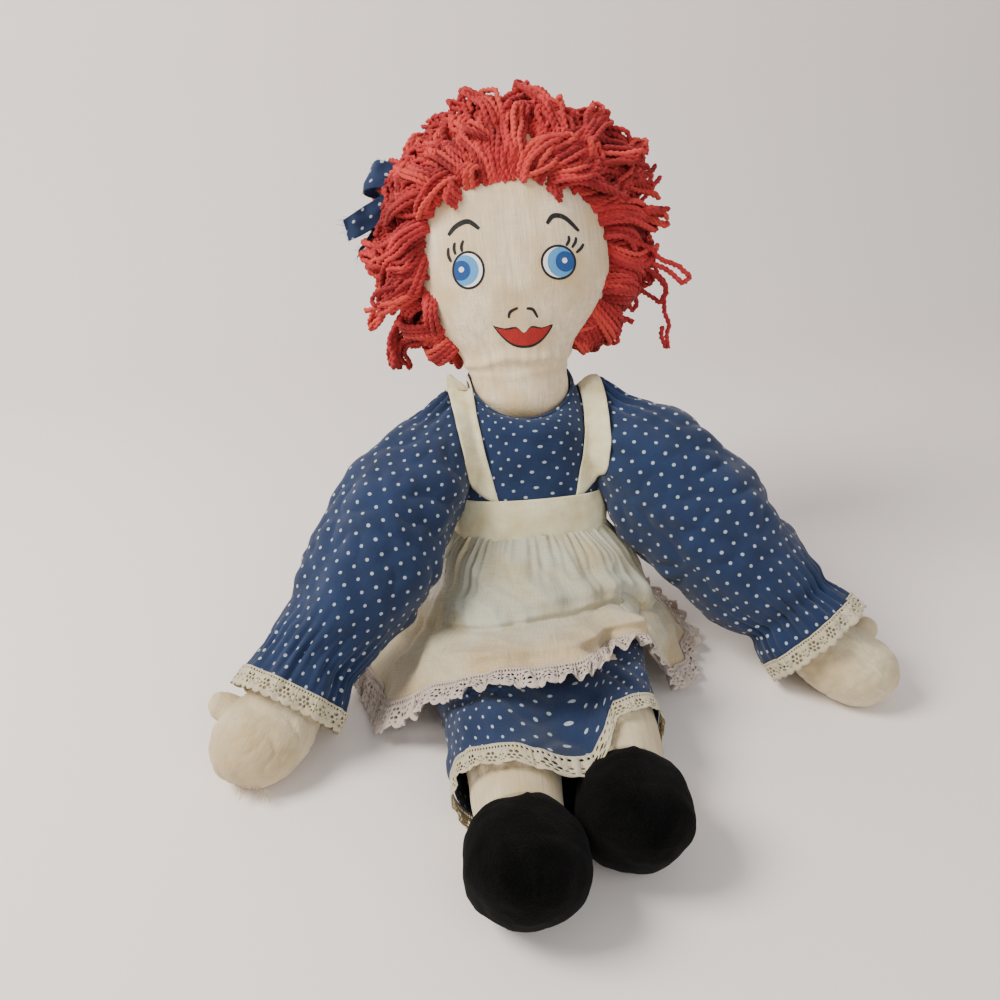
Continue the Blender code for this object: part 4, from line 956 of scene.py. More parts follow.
red_wool = wool("red wool", linear(118, 12, 22), linear(212, 58, 62))
# The cap's wool is a darker copy of the red wool: painted shade for the deep places under the loops.
shaded_wool = wool("red wool in the shade", linear(84, 8, 12), linear(132, 24, 26))
hair_draw = random.Random(11)
noise.seed_set(11)
front_paths = hairline_loops(hair_draw) + crown_loops(hair_draw)
back_paths = rear_loops(hair_draw)
front_paths += [stray_strand(points) for points in STRAY_STRANDS]
cap = cloth_piece("wool_cap", hair_cap(), True, (0.5, 0.2), shaded_wool, thick=0.002)
fixed(cap, "head", "red_yarn")
front_hair = strands("front_yarn_loops", [evenly(path, YARN_STEP) for path in front_paths], YARN_RADIUS, 8,
                     hair_draw, red_wool)
fixed(front_hair, "head", "red_yarn", "hair")
back_hair = strands("back_yarn_loops", [evenly(path, YARN_STEP * 1.5) for path in back_paths], YARN_RADIUS, 6,
                    hair_draw, red_wool)
fixed(back_hair, "head", "red_yarn")

# The bow: scraps of the dress cotton tied round a lock of the hair on the doll's right, one
# folded into a loop and two left as tails, all with raw, fraying edges.
DRESS_BLUE = linear(17, 39, 74)
DRESS_DOT = linear(184, 194, 200)
DOT_PITCH = 0.0088
DOT_RADIUS = 0.00106
BOW_KNOT = NECK + HEAD_ACROSS * -0.062 + HEAD_UP * 0.139 - HEAD_FRONT * 0.001
BOW_THREADS = 46

# Each scrap's line, in millimetres across, up and forward with its half-width, and its width's way
BOW_PIECES = {
    "bow_loop": (((-60, 141, 6, 6), (-70, 145, 9, 8), (-80, 147.5, 8, 9.5), (-86, 146, 2, 9),
                  (-82, 143, -5, 8), (-70, 139, -8, 7), (-58, 137, -8, 6)), (0.46, 0.86, 0.2)),
    "bow_tail": (((-58, 138, 0, 5), (-70, 131, 1, 7), (-82, 125, 0, 8), (-94, 120, -2, 8),
                  (-105, 116, -4, 7)), (-0.1, 0.92, 0.35)),
    "bow_scrap": (((-66, 130, -8, 5), (-78, 121, -9, 6), (-90, 111, -10, 6), (-99, 102, -12, 4)),
                  (0.5, 0.7, 0.5))}


def dotted_cotton(name, turn):
    """Blue printed cotton with a square lattice of small pale dots, turned on the cloth."""
    finish = Finish(name, 0.88, 0.12)
    u = finish.node("ShaderNodeSeparateXYZ", {}, {0: finish.cloth()})
    v = Link(finish, u.socket.node.outputs[1])
    cosine, sine = math.cos(turn), math.sin(turn)
    along = ((u * cosine + v * sine) / DOT_PITCH) % 1 - 0.5
    up = ((v * cosine - u * sine) / DOT_PITCH) % 1 - 0.5
    place = finish.cloth()
    edge = finish.cloud(place, (1300, 1300, 1300), 2)
    far = (along * along + up * up) ** 0.5 * DOT_PITCH
    dots = ((DOT_RADIUS - far) * 4200 + (edge - 0.5) * 1.6 + 0.5).kept()
    threads = finish.swing((place, (2400, 150, 1), 2, 0.6), (place, (150, 2400, 1), 2, 0.6))
    faded = finish.swing((place, (45, 45, 45), 3, 1.2))
    light = (threads * 0.9 + faded + 0.42).kept()
    ground = finish.mixed(light, darker(DRESS_BLUE, 0.62), tuple(c * 1.35 + 0.004 for c in DRESS_BLUE))
    worn = finish.mixed((edge * 0.35 + 0.1).kept(), DRESS_DOT, ground)
    return finish.feed(height=threads + dots * 0.25, bump=0.0003, Base_Color=finish.mixed(dots, ground, worn))


def ribbon_grid(points, width_way, rows, columns):
    """A strip of cloth along millimetre points of the head, each with its half-width."""
    way = Vector(width_way).normalized()
    grid = []
    for row in range(rows):
        x, up, front, half = smooth_row(points, (len(points) - 1) * row / (rows - 1))
        line = []
        for column in range(columns):
            share = 2 * column / (columns - 1) - 1
            place = (Vector((x, up, front)) + way * (half * share)) / 1000
            line.append(NECK + HEAD_ACROSS * place.x + HEAD_UP * place.y + HEAD_FRONT * place.z)
        grid.append(line)
    return np.array(grid)


def any_way(draw):
    return np.array([draw.uniform(-1, 1) for _ in range(3)])


bow_cotton = dotted_cotton("bow cotton", 0.5)
bow_draw = random.Random(5)
frayed = []
for name, (points, width_way) in BOW_PIECES.items():
    strip = ribbon_grid(points, width_way, 36, 20)
    strip = pushed_out(strip, False, rumple(strip, 0.007, 4) * 0.0011)
    part = cloth_piece(name, strip, False, (0.018, 0.05), bow_cotton, thick=0.0004)
    fixed(part, "head", "blue_scrap")
    border = list(strip[:, 0]) + list(strip[:, -1]) + list(strip[-1])
    heart = strip.mean(axis=(0, 1))
    for point in bow_draw.sample(border, BOW_THREADS):
        away = (point - heart) / np.linalg.norm(point - heart)
        stray = any_way(bow_draw)
        end = point + (away + stray * 0.8) * bow_draw.uniform(0.001, 0.0034)
        bend = (point + end) / 2 + stray * 0.0006
        frayed.append(evenly(np.array([point, bend, end]), 0.0005))
fixed(strands("bow_frayed_threads", frayed, 0.00012, 4, bow_draw, bow_cotton), "head", "blue_scrap")
knot_grid = []
for step in range(14):
    turn = math.pi * step / 13
    knot_grid.append(ring(BOW_KNOT + HEAD_ACROSS * (-0.005 * math.cos(turn)), HEAD_UP, HEAD_FRONT,
                          0.007 * math.sin(turn) + 0.0004, 0.008 * math.sin(turn) + 0.0004, 2, 28))
knot_grid = np.array(knot_grid)
knot_grid = pushed_out(knot_grid, True, rumple(knot_grid, 0.004, 9) * 0.0007)
bow_knot = cloth_piece("bow_knot", knot_grid, True, (0.04, 0.02), bow_cotton, ends=True)
fixed(bow_knot, "head", "blue_scrap", "hair_bow_knot")
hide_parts("hair_bow_loop")
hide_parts("hair_bow_tail")

# The arms: bags of the same muslin with mitten hands, a short thumb near the wrist, and a seam
# round the edge. The doll's right hand has a raw, frayed seam at its tip.
SIDES = {"left": 1, "right": -1}
SHOULDER = (0.0585, 0.045, 0.160)
SHOULDER_RADIUS = 0.021
SHOULDER_INSET = 0.016
ARM_RADIUS = 0.025
ARM_LENGTH = 0.268
ARM_DROP = math.radians(37.8)
ARM_OUT = math.radians(41.8)
WRIST_AT = 0.203
HAND_BEND = 0.046
HAND_DROP = math.radians(4)
HAND_HALF_WIDTH = 0.028
HAND_HALF_DEPTH = 0.0226
THUMB_AT = 0.865
THUMB_LENGTH = 0.017
THUMB_RADIUS = 0.0095
HAND_THREADS = 46
BAG_VOXEL = 0.0014

# Shares of the arm's length with half-width and half-depth, of the arm's radius and then of the hand's
ARM_SHARES = ((0.045, 0.81), (0.095, 0.89), (0.17, 1.00), (0.30, 1.00), (0.45, 0.98), (0.58, 0.93),
              (0.69, 0.87))
HAND_SHARES = ((0.755, 0.78, 0.90), (0.81, 0.92, 0.96), (0.865, 1.00, 1.00), (0.915, 0.97, 0.97),
               (0.955, 0.82, 0.84), (0.982, 0.56, 0.60), (1.00, 0.22, 0.26))


def shoulder_of(side):
    return Vector((SIDES[side] * SHOULDER[0], SHOULDER[1], SHOULDER[2]))


def level_way(side):
    return Vector((SIDES[side] * math.sin(ARM_OUT), -math.cos(ARM_OUT), 0))


def arm_axes(side):
    """Directions across the arm on the level, up from its upper side, and down its length."""
    axis = level_way(side) * math.cos(ARM_DROP) - UP * math.sin(ARM_DROP)
    level = axis.cross(UP).normalized()
    return level, level.cross(axis), axis


def arm_place(side, along):
    """Centre and direction at a distance down the arm, which bends level at the wrist."""
    level = level_way(side)
    point = shoulder_of(side) + arm_axes(side)[2] * min(along, WRIST_AT)
    steps = 12
    bent = max(along - WRIST_AT, 0)
    for step in range(steps):
        drop = ARM_DROP + (HAND_DROP - ARM_DROP) * min(bent * (step + 1) / steps / HAND_BEND, 1)
        way = level * math.cos(drop) - UP * math.sin(drop)
        point += way * (bent / steps)
    return point, way


def fused(name, grids, finish):
    """One stuffed bag from several closed forms: joined, smoothed and slightly rumpled."""
    vertices, faces = [], []
    for grid in grids:
        rows, sides = grid.shape[:2]
        base = len(vertices)
        vertices += [tuple(point) for point in grid.reshape(-1, 3)]
        for row in range(rows - 1):
            for step in range(sides):
                after = (step + 1) % sides
                faces.append((base + row * sides + step, base + row * sides + after,
                              base + (row + 1) * sides + after, base + (row + 1) * sides + step))
        faces.append(tuple(base + step for step in range(sides))[::-1])
        faces.append(tuple(base + (rows - 1) * sides + step for step in range(sides)))
    piece = mesh_piece(name, vertices, faces, finish)
    remesh = piece.modifiers.new("one bag", "REMESH")
    remesh.mode = "VOXEL"
    remesh.voxel_size = BAG_VOXEL
    smooth = piece.modifiers.new("stuffing", "SMOOTH")
    smooth.iterations = 6
    settle(piece)
    for vertex, normal in zip(piece.data.vertices, [Vector(v.normal) for v in piece.data.vertices]):
        crease = abs(noise.noise(vertex.co / 0.011 + Vector((3, 1, 7))))
        height = noise.noise(vertex.co / 0.017) * 0.0010 + noise.noise(vertex.co / 0.006) * 0.0003
        vertex.co += normal * (height + min(crease * 4, 1) * 0.0007 - 0.0007)
        vertex.co.z = max(vertex.co.z, 0)
    return piece


def arm_grid(side):
    top = SHOULDER_RADIUS * 0.55
    rows = [(along + SHOULDER_INSET, share * top, share * top) for along, share in ball_rows(top, 8)]
    rows.append((SHOULDER_INSET + 0.002, top, top))
    rows += [(share * ARM_LENGTH, size * ARM_RADIUS, size * ARM_RADIUS) for share, size in ARM_SHARES]
    rows += [(share * ARM_LENGTH, width * HAND_HALF_WIDTH, depth * HAND_HALF_DEPTH)
             for share, width, depth in HAND_SHARES]
    grid = []
    for step in range(100):
        along, width, depth = smooth_row(rows, (len(rows) - 1) * step / 99)
        centre, forward = arm_place(side, along)
        centre -= arm_axes(side)[1] * (SHOULDER_INSET * max(1 - along / 0.080, 0))
        across = forward.cross(UP).normalized()
        grid.append(ring(centre, across, across.cross(forward), width, depth, 2, 48, floor=0.0002))
    return np.array(grid)


def thumb_grid(side):
    palm, forward = arm_place(side, THUMB_AT * ARM_LENGTH)
    across = UP.cross(forward).normalized() * SIDES[side]
    root = palm + across * (HAND_HALF_WIDTH - THUMB_RADIUS) + UP * (THUMB_RADIUS / 2)
    points = (forward * 0.32 + across + UP * 0.44).normalized()
    level = points.cross(UP).normalized()
    rows = ball_rows(THUMB_RADIUS, 6) + [(0, 1), (THUMB_LENGTH / 2, 0.97), (THUMB_LENGTH, 0.86)]
    rows += [(THUMB_LENGTH + THUMB_RADIUS * 0.35, 0.6), (THUMB_LENGTH + THUMB_RADIUS * 0.52, 0.28)]
    return np.array([ring(root + points * along, level, level.cross(points), share * THUMB_RADIUS,
                          share * THUMB_RADIUS, 2, 20) for along, share in rows])


for side in SIDES:
    turn = Matrix(arm_axes(side)).transposed()
    arm_muslin = muslin(side + " arm muslin", MUSLIN_COLOUR, MUSLIN_STAIN, turn)
    arm = fused(side + "_arm_bag", (arm_grid(side), thumb_grid(side)), arm_muslin)
    fixed(arm, side + "_arm", "muslin", side + "_arm")

tip, forward = arm_place("right", 0.985 * ARM_LENGTH)
hand_side = forward.cross(UP).normalized()
fray_draw = random.Random(21)
hand_fray = []
for number in range(HAND_THREADS):
    share = number / (HAND_THREADS - 1)
    start = np.array(tip - hand_side * (0.023 - 0.020 * share) + forward * (0.004 * share - 0.006)) \
        + np.array((0, 0, fray_draw.uniform(-0.012, -0.008)))
    stray = np.array([fray_draw.uniform(-1, 1), fray_draw.uniform(-1, 1), fray_draw.uniform(-0.6, 0.2)])
    away = np.array(forward) * 0.8 - np.array(hand_side) * 0.5 + stray * 0.7
    end = start + away * fray_draw.uniform(0.003, 0.007)
    end[2] = max(end[2], 0.0006)
    hand_fray.append(evenly(np.array([start, (start + end) / 2 + stray * 0.0008, end]), 0.0007))
hand_threads = strands("right_hand_frayed_seam", hand_fray, 0.00016, 4, fray_draw, plain_muslin)
fixed(hand_threads, "right_arm", "muslin")

# The legs: plain muslin tubes, stuffed, that lie side by side under the skirt. Each ends in a
# round foot of black felt with a seam down its middle.
HIP_FRONT = 0.012
HIP_HEIGHT = 0.030
HIP_X = {"left": 0.0275, "right": -0.0315}
LEG_RADIUS = 0.0285
LEG_LENGTH = {"left": 0.167, "right": 0.189}
LEG_TURN = math.radians(6.6)
SHOE_LENGTH = 0.061
SHOE_HALF_WIDTH = 0.0302
SHOE_HALF_HEIGHT = 0.0325
SHOE_SIDES = 72
SHOE_SEAM_AT = math.pi / 2 + 0.1
SHOE_SEAM_DEPTH = 0.0009
TOE_RISE = 0.008
LEG_FORWARD = Vector((-math.sin(LEG_TURN), -math.cos(LEG_TURN), 0))
LEG_ACROSS = LEG_FORWARD.cross(UP)
LEG_SHARES = ((0.15, 1.00), (0.40, 1.00), (0.62, 0.97), (0.80, 0.91), (0.92, 0.84), (1.00, 0.80))
SHOE_SHARES = ((0.00, 0.72, 0.67), (0.07, 0.86, 0.78), (0.20, 0.97, 0.88), (0.38, 1.01, 0.95),
               (0.56, 1.00, 0.94), (0.72, 0.90, 0.82), (0.85, 0.68, 0.60), (0.94, 0.40, 0.34),
               (0.97, 0.14, 0.12))


def felt():
    """Black felt, matt and a little dusty."""
    finish = Finish("black felt", 0.96, 0.02)
    finish.shader.inputs["Specular IOR Level"].default_value = 0.04
    place = finish.place()
    fibres = finish.cloud(place, (900, 900, 900), 4)
    dust = finish.swing((place, (45, 45, 45), 3, 1.4))
    light = ((fibres - 0.5) * 1.2 + dust + 0.3).kept()
    shade = finish.mixed(light, linear(2, 2, 2), linear(17, 16, 16))
    return finish.feed(height=fibres, bump=0.0006, Base_Color=shade)


def hip_of(side):
    return Vector((HIP_X[side], -HIP_FRONT, HIP_HEIGHT))


def leg_grid(side):
    rows = ball_rows(LEG_RADIUS, 8) + [(0, 1)]
    rows += [(share * LEG_LENGTH[side], size) for share, size in LEG_SHARES]
    grid = []
    for step in range(70):
        along, size = smooth_row(rows, (len(rows) - 1) * step / 69)
        grid.append(ring(hip_of(side) + LEG_FORWARD * along, LEG_ACROSS, UP, size * LEG_RADIUS,
                         size * LEG_RADIUS, 2, 56, floor=0.0018))
    grid = np.array(grid)
    return pushed_out(grid, True, rumple(grid, 0.02, 5) * 0.0007)


def shoe_grid(side):
    start = hip_of(side) + LEG_FORWARD * (LEG_LENGTH[side] + 0.0002)
    drop = UP * (HIP_HEIGHT - SHOE_HALF_HEIGHT + 0.0005)
    grid = []
    for step in range(64):
        along, width, height = smooth_row(SHOE_SHARES, (len(SHOE_SHARES) - 1) * step / 63)
        centre = start + LEG_FORWARD * (along * SHOE_LENGTH) - drop * min(along / 0.2, 1)
        centre += UP * (TOE_RISE * max(along - 0.58, 0) / 0.42)
        grid.append(ring(centre, LEG_ACROSS, UP, width * SHOE_HALF_WIDTH, height * SHOE_HALF_HEIGHT, 2,
                         SHOE_SIDES, floor=0))
    grid = np.array(grid)
    angle = np.linspace(0, 2 * math.pi, SHOE_SIDES, endpoint=False)
    seam = np.exp(-((angle - SHOE_SEAM_AT) / 0.035) ** 2) * -SHOE_SEAM_DEPTH
    lumps = rumple(grid, 0.017, 7) * 0.0011 + rumple(grid, 0.006, 2) * 0.0003
    grid = pushed_out(grid, True, lumps + seam[None, :])
    grid[..., 2] = np.maximum(grid[..., 2], 0)
    return grid


black_felt = felt()
leg_muslin = muslin("leg muslin", MUSLIN_COLOUR, MUSLIN_STAIN,
                    Matrix((LEG_ACROSS, UP, LEG_FORWARD)).transposed())
for side in SIDES:
    leg = cloth_piece(side + "_leg_bag", leg_grid(side), True, (0.18, LEG_LENGTH[side]), leg_muslin,
                      ends=True)
    fixed(leg, side + "_leg", "muslin", side + "_leg")
    shoe = cloth_piece(side + "_felt_foot", shoe_grid(side), True, (0.2, 0.08), black_felt, ends=True)
    fixed(shoe, side + "_leg", "black_felt", side + "_shoe")

# The dress's bodice: dotted cotton on the torso, drawn in to the neckline, which is bound with
# a narrow rolled strip of the same cloth. It opens down the back under a lapped placket.
WAIST_UP = 0.0475
COTTON = 0.0010
COTTON_THICK = 0.0006
BODICE_SIDES = 180
NECKLINE_FRONT = 0.161
NECKLINE_SIDE = 0.177
NECKLINE_BACK = 0.186
NECKLINE_HALF_SIZE = (0.0345, 0.0295)
BINDING_RADIUS = 0.0013
BINDING_STEPS = 150
BINDING_SIDES = 12
PLACKET_SIZE = (0.014, 0.055)
PLACKET_UP = 0.074


def neckline(grow, sides, drop=0.0):
    """Points of the neckline, which dips in front."""
    turn = Matrix.Rotation(HEAD_YAW * 0.3, 3, "Z")
    points = []
    for step in range(sides):
        angle = 2 * math.pi * step / sides
        x, y = rounded(angle, NECKLINE_HALF_SIZE[0] + grow, NECKLINE_HALF_SIZE[1] + grow, 2.2)
        front = math.sin(angle)
        if front > 0:
            height = NECKLINE_SIDE + (NECKLINE_FRONT - NECKLINE_SIDE) * front ** 1.5
        else:
            height = NECKLINE_SIDE + (NECKLINE_BACK - NECKLINE_SIDE) * -front
        point = NECK + turn @ Vector((x, -y, 0))
        points.append(Vector((point.x, point.y, height - drop)))
    return points


def folds(angle, low, high, seed):
    """Irregular folds round a piece, from about -1 to 1, with low to high of them."""
    draw = random.Random(seed)
    total = np.zeros_like(angle)
    for count in range(low, high + 1):
        total += draw.uniform(0.5, 1) * np.cos(count * angle + draw.uniform(0, 2 * math.pi))
    return total / math.sqrt((high - low + 1) * 0.6)


def bodice_grid():
    top_up = TORSO_LENGTH - 0.020
    rows = list(torso_grid(WAIST_UP - 0.004, top_up, 52, BODICE_SIDES, 0.0016))
    top = torso_grid(top_up, TORSO_LENGTH, 2, BODICE_SIDES, 0.0016)[0]
    edge = np.array([tuple(point) for point in neckline(0, BODICE_SIDES)])
    for step in range(1, 21):
        share = step / 20
        lift = math.sin(math.pi * share) * 0.0042
        rows.append(top * (1 - share) + edge * share + np.array((0, 0, lift)))
    grid = np.array(rows)
    angle = np.linspace(0, 2 * math.pi, BODICE_SIDES, endpoint=False)[None, :]
    down = np.linspace(0, 1, len(grid))[:, None]
    pull = rumple(grid, 0.028, 6) * 0.0011 + rumple(grid, 0.011, 1) * 0.0004
    pull += folds(angle, 7, 15, 3) * 0.0007 * np.exp(-(down / 0.22) ** 2)
    return pushed_out(grid, True, pull)


def binding_grid():
    edge = neckline(0.0004, BINDING_STEPS, drop=0.0003)
    rows = []
    for step, point in enumerate(edge):
        ahead = (edge[(step + 1) % BINDING_STEPS] - edge[step - 1]).normalized()
        out = ahead.cross(UP).normalized()
        turns = [2 * math.pi * side / BINDING_SIDES for side in range(BINDING_SIDES)]
        rows.append([point + out * (BINDING_RADIUS * math.cos(a)) + UP * (BINDING_RADIUS * 1.7 * math.sin(a))
                     for a in turns])
    return np.array(rows + rows[:1])


def torso_face(up, x, grow, front=1):
    """A point on the front or back of a layer round the torso."""
    width, depth = torso_size(up)
    share = min(abs(x) / (width + grow), 1)
    rise = (depth + grow) * (1 - share ** TORSO_POWER) ** (1 / TORSO_POWER)
    return SEAT + TORSO_UP * up + ACROSS * x + TORSO_FRONT * (rise * front)


def placket_grid():
    width, height = PLACKET_SIZE
    grid = np.array([[torso_face(PLACKET_UP + height * row / 30, width * (column / 10 - 0.5), 0.0036, -1)
                      for column in range(11)] for row in range(31)])
    return pushed_out(grid, False, rumple(grid, 0.012, 2) * 0.0005)


dress_cotton = dotted_cotton("dotted dress cotton", math.radians(38))
bodice = cloth_piece("dress_bodice", bodice_grid(), True, (0.29, 0.115), dress_cotton, thick=COTTON_THICK)
fixed(bodice, "torso", "dress_cotton", "bodice")
binding = cloth_piece("neck_binding_strip", binding_grid(), True, (0.011, 0.20), dress_cotton)
fixed(binding, "torso", "dress_cotton", "neck_binding")
placket = cloth_piece("back_placket", placket_grid(), False, PLACKET_SIZE, dress_cotton, thick=0.0008)
fixed(placket, "torso", "dress_cotton", "dress_placket")

# The sleeves: full tubes of the dotted cotton, gathered into the armhole and again on elastic
# above a short frill, with eyelet lace sewn to the frill's edge.
SLEEVE_START = -0.020
SLEEVE_END = 0.203
ELASTIC_AT = 0.185
SLEEVE_FLOOR = 0.0008
CUFF_LACE_LENGTHS = 17
SLEEVE_SEED = {"left": 40, "right": 70}
RUMPLE_SEEDS = {"left": (5, 15), "right": (9, 19)}

# Rows along each sleeve: how far down the arm, its radius and how far it is blown forward
SLEEVE_ROWS = {
    "right": ((-0.020, 0.010, 0.011), (-0.014, 0.0165, 0.014), (-0.005, 0.0205, 0.015),
              (0.007, 0.0245, 0.014), (0.021, 0.0295, 0.012), (0.040, 0.0335, 0.009),
              (0.063, 0.0375, 0.006), (0.085, 0.0398, 0.006), (0.105, 0.0402, 0.0072),
              (0.125, 0.0380, 0.0072), (0.148, 0.0345, 0.006), (0.165, 0.0310, 0.004),
              (0.176, 0.0290, 0.0015), (0.185, 0.0285, 0), (0.194, 0.0305, 0), (0.203, 0.0325, 0)),
    "left": ((-0.020, 0.010, 0.009), (-0.014, 0.0175, 0.011), (-0.005, 0.0215, 0.012), (0.009, 0.0255, 0.011),
             (0.028, 0.0350, 0.008), (0.052, 0.0420, 0.005), (0.084, 0.0465, 0.0048), (0.110, 0.0455, 0.0038),
             (0.140, 0.0410, 0.003), (0.165, 0.0368, 0.003), (0.176, 0.0335, 0.001), (0.185, 0.0295, 0),
             (0.194, 0.0325, 0), (0.203, 0.0350, 0))}


def sleeve_row(side, along):
    """The sleeve's radius and its shift forward at a distance down the arm."""
    rows = SLEEVE_ROWS[side]
    place = float(np.interp(along, [row[0] for row in rows], range(len(rows))))
    return smooth_row(rows, place)[1:]


def sleeve_point(side, along, angle, radius):
    level, upright, forward = arm_axes(side)
    shift = sleeve_row(side, along)[1]
    middle = shoulder_of(side) + forward * along - upright * (shift * 0.8)
    middle += level * (shift * 0.6 * SIDES[side])
    return middle + level * (radius * math.cos(angle)) + upright * (radius * math.sin(angle))


def sleeve_radius(side, along, angles):
    """The sleeve's radius with its gathers, folds and the sag of its lower side."""
    seed = SLEEVE_SEED[side]
    base = sleeve_row(side, along)[0]
    cap = math.exp(-(max(along, 0) / 0.020) ** 1.3) * 0.0016
    drawn = math.exp(-(abs(along - ELASTIC_AT) / 0.018) ** 1.4) * 0.0017
    frill = max(along - ELASTIC_AT, 0) / (SLEEVE_END - ELASTIC_AT) * 0.0016
    body = math.sin(math.pi * min(max(along / ELASTIC_AT, 0), 1)) ** 0.7
    radius = base + cap * folds(angles, 15, 24, seed) + drawn * folds(angles, 22, 36, seed + 1)
    radius = radius + frill * folds(angles, 8, 13, seed + 2) + body * 0.0012 * folds(angles, 3, 6, seed + 3)
    return radius + body * 0.0010 * np.maximum(-np.sin(angles), 0)


def sleeve_grid(side, rows=150, sides=200):
    angles = np.linspace(0, 2 * math.pi, sides, endpoint=False)
    grid = []
    for row in range(rows):
        along = SLEEVE_START + (SLEEVE_END - SLEEVE_START) * row / (rows - 1)
        radius = sleeve_radius(side, along, angles)
        grid.append([sleeve_point(side, along, angle, r) for angle, r in zip(angles, radius)])
    grid = np.array(grid)
    share = np.clip(np.linspace(SLEEVE_START, SLEEVE_END, rows) / ELASTIC_AT, 0, 1)
    deep = np.sin(math.pi * share) ** 0.8
    broad_seed, crease_seed = RUMPLE_SEEDS[side]
    broad = rumple(grid, 0.030, broad_seed) * 0.0030
    creases = -np.abs(rumple(grid, 0.021, crease_seed)) * 0.0036 + 0.0011
    grid = pushed_out(grid, True, (broad + creases) * deep[:, None] + rumple(grid, 0.009, 2) * 0.0004)
    grid[..., 2] = np.maximum(grid[..., 2], SLEEVE_FLOOR)
    return grid


# Eyelet lace: one length's size, and its holes as places along and down the band with half sizes,
# all in millimetres. The first seven holes are a flower.
EYELET_CELL = 14.0
EYELET_DEPTH = 13.2
LACE_THICK = 0.0004
FLOWER = (7.0, 6.6)
PETAL_TURNS = [math.radians(60 * step) for step in range(6)]
EYELET_HOLES = [(*FLOWER, 0.85, 0.85)]
EYELET_HOLES += [(FLOWER[0] + 2.75 * math.cos(turn), FLOWER[1] + 2.6 * math.sin(turn), 1.05, 0.95)
                 for turn in PETAL_TURNS]
EYELET_HOLES += [(2.2, 7.6, 0.62, 0.55), (11.8, 7.6, 0.62, 0.55), (0.75, 9.0, 0.5, 0.62),
                 (13.25, 9.0, 0.5, 0.62), (0.9, 5.6, 0.55, 0.55), (13.1, 5.6, 0.55, 0.55)]
EYELET_HOLES += [(1.0 + 2.0 * step, 1.5, 0.55, 0.60) for step in range(7)]


def lace_cell(cell, depth, rise, holes, spacing):
    """One length of lace, cut flat: two rounded scallops along its free edge, and its holes."""
    upper = [(0.0, 0.0)] + [(cell * step / 8, 0.0) for step in range(1, 9)]
    lower = []
    for step in range(29):
        share = step / 28 * 2
        lower.append((cell * step / 28, depth - rise + rise * abs(math.sin(math.pi * share)) ** 0.7))
    rounds = [ellipse(x, y, half_x, half_y, 10) for x, y, half_x, half_y in holes]
    return cut_flat(upper + lower[::-1], rounds, spacing)


def lace_band(name, pattern, cell, depth, count, place, finish):
    """A band of lace: one cut pattern repeated along it and laid where place says."""
    flat, triangles = pattern
    vertices, faces, places = [], [], []
    for number in range(count):
        start = len(vertices)
        vertices += [place((number + x / cell) / count, y / depth) for x, y in flat]
        faces += [[start + corner for corner in face] for face in triangles]
        for face in triangles:
            places += [((number * cell + flat[corner][0]) / 1000, flat[corner][1] / 1000) for corner in face]
    band = mesh_piece(name, vertices, faces, finish, places)
    weld = band.modifiers.new("joined lengths", "WELD")
    weld.merge_threshold = 0.00004
    thickened(band, LACE_THICK)
    return settle(band)


def lace_thread(name, colour, stain):
    """Cotton lace: fine threads across the band, and old stains."""
    finish = Finish(name, 0.85, 0.3)
    place = finish.cloth()
    across = finish.cloud(place, (2600, 500, 1), 2)
    blotch = finish.swing((place, (55, 55, 1), 3, 3))
    shade = finish.mixed((blotch + 0.4).kept(), colour, stain)
    shade = finish.mixed((across * 0.9 - 0.15).kept(), darker(colour, 0.62), shade)
    return finish.feed(height=across, bump=0.0005, Base_Color=shade)


def laced_cuff(side):
    """Where the cuff's lace lies, from the frill's edge outwards, with the frill's own folds."""
    def place(share, down):
        angle = 2 * math.pi * share
        turn = np.array([angle])
        along = SLEEVE_END - 0.0012 + down * EYELET_DEPTH / 1000
        radius = sleeve_radius(side, SLEEVE_END, turn)[0] + 0.0012
        radius += down * (0.0008 + 0.0022 * float(folds(turn, 6, 11, SLEEVE_SEED[side] + 9)[0]))
        point = sleeve_point(side, along, angle, radius)
        point.z = max(point.z, SLEEVE_FLOOR)
        return tuple(point)

    return place


eyelet_pattern = lace_cell(EYELET_CELL, EYELET_DEPTH, 1.9, EYELET_HOLES, 1.5)
eyelet_lace = lace_thread("cream eyelet lace", linear(222, 212, 178), linear(196, 172, 118))
sleeve_cotton = {"left": dotted_cotton("left sleeve cotton", math.radians(4)),
                 "right": dotted_cotton("right sleeve cotton", math.radians(42))}
for side in SIDES:
    sleeve = cloth_piece(side + "_full_sleeve", sleeve_grid(side), True, (0.25, 0.222), sleeve_cotton[side],
                         thick=COTTON_THICK)
    down = arm_axes(side)[2]
    shoulder_of(side) - down * 0.004
    shoulder_of(side) + down * 0.040
    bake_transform(sleeve)
    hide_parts(side + "_sleeve")
    lace = lace_band(side + "_cuff_eyelet_lace", eyelet_pattern, EYELET_CELL, EYELET_DEPTH, CUFF_LACE_LENGTHS,
                     laced_cuff(side), eyelet_lace)
    fixed(lace, side + "_arm", "eyelet_lace", side + "_cuff_lace")

# The dress's skirt: a long tube of the dotted cotton, gathered at the waist. It lies over the
# lap and both legs, dips between them, and has eyelet lace along its hem.
LAP_HEIGHT = 0.0625
SKIRT_REACH = 0.165
SKIRT_HALF_WIDTH = 0.0625
SKIRT_SHIFT = 0.020
SKIRT_TOP = 0.02
HEM_SLANT = 0.020
HEM_LINE_SHARES = (-1.0, -0.5, -0.2, 0.15, 0.32, 0.48, 1.0)
HEM_LINE_DROPS = (0.1, -0.4, -0.75, -0.7, -0.1, 0.8, 1.3)
HEM_ROW = 7
HEM_LACE_LENGTHS = 24
SIDE_FLARE = 0.020
DIP_BETWEEN_LEGS = 0.0150

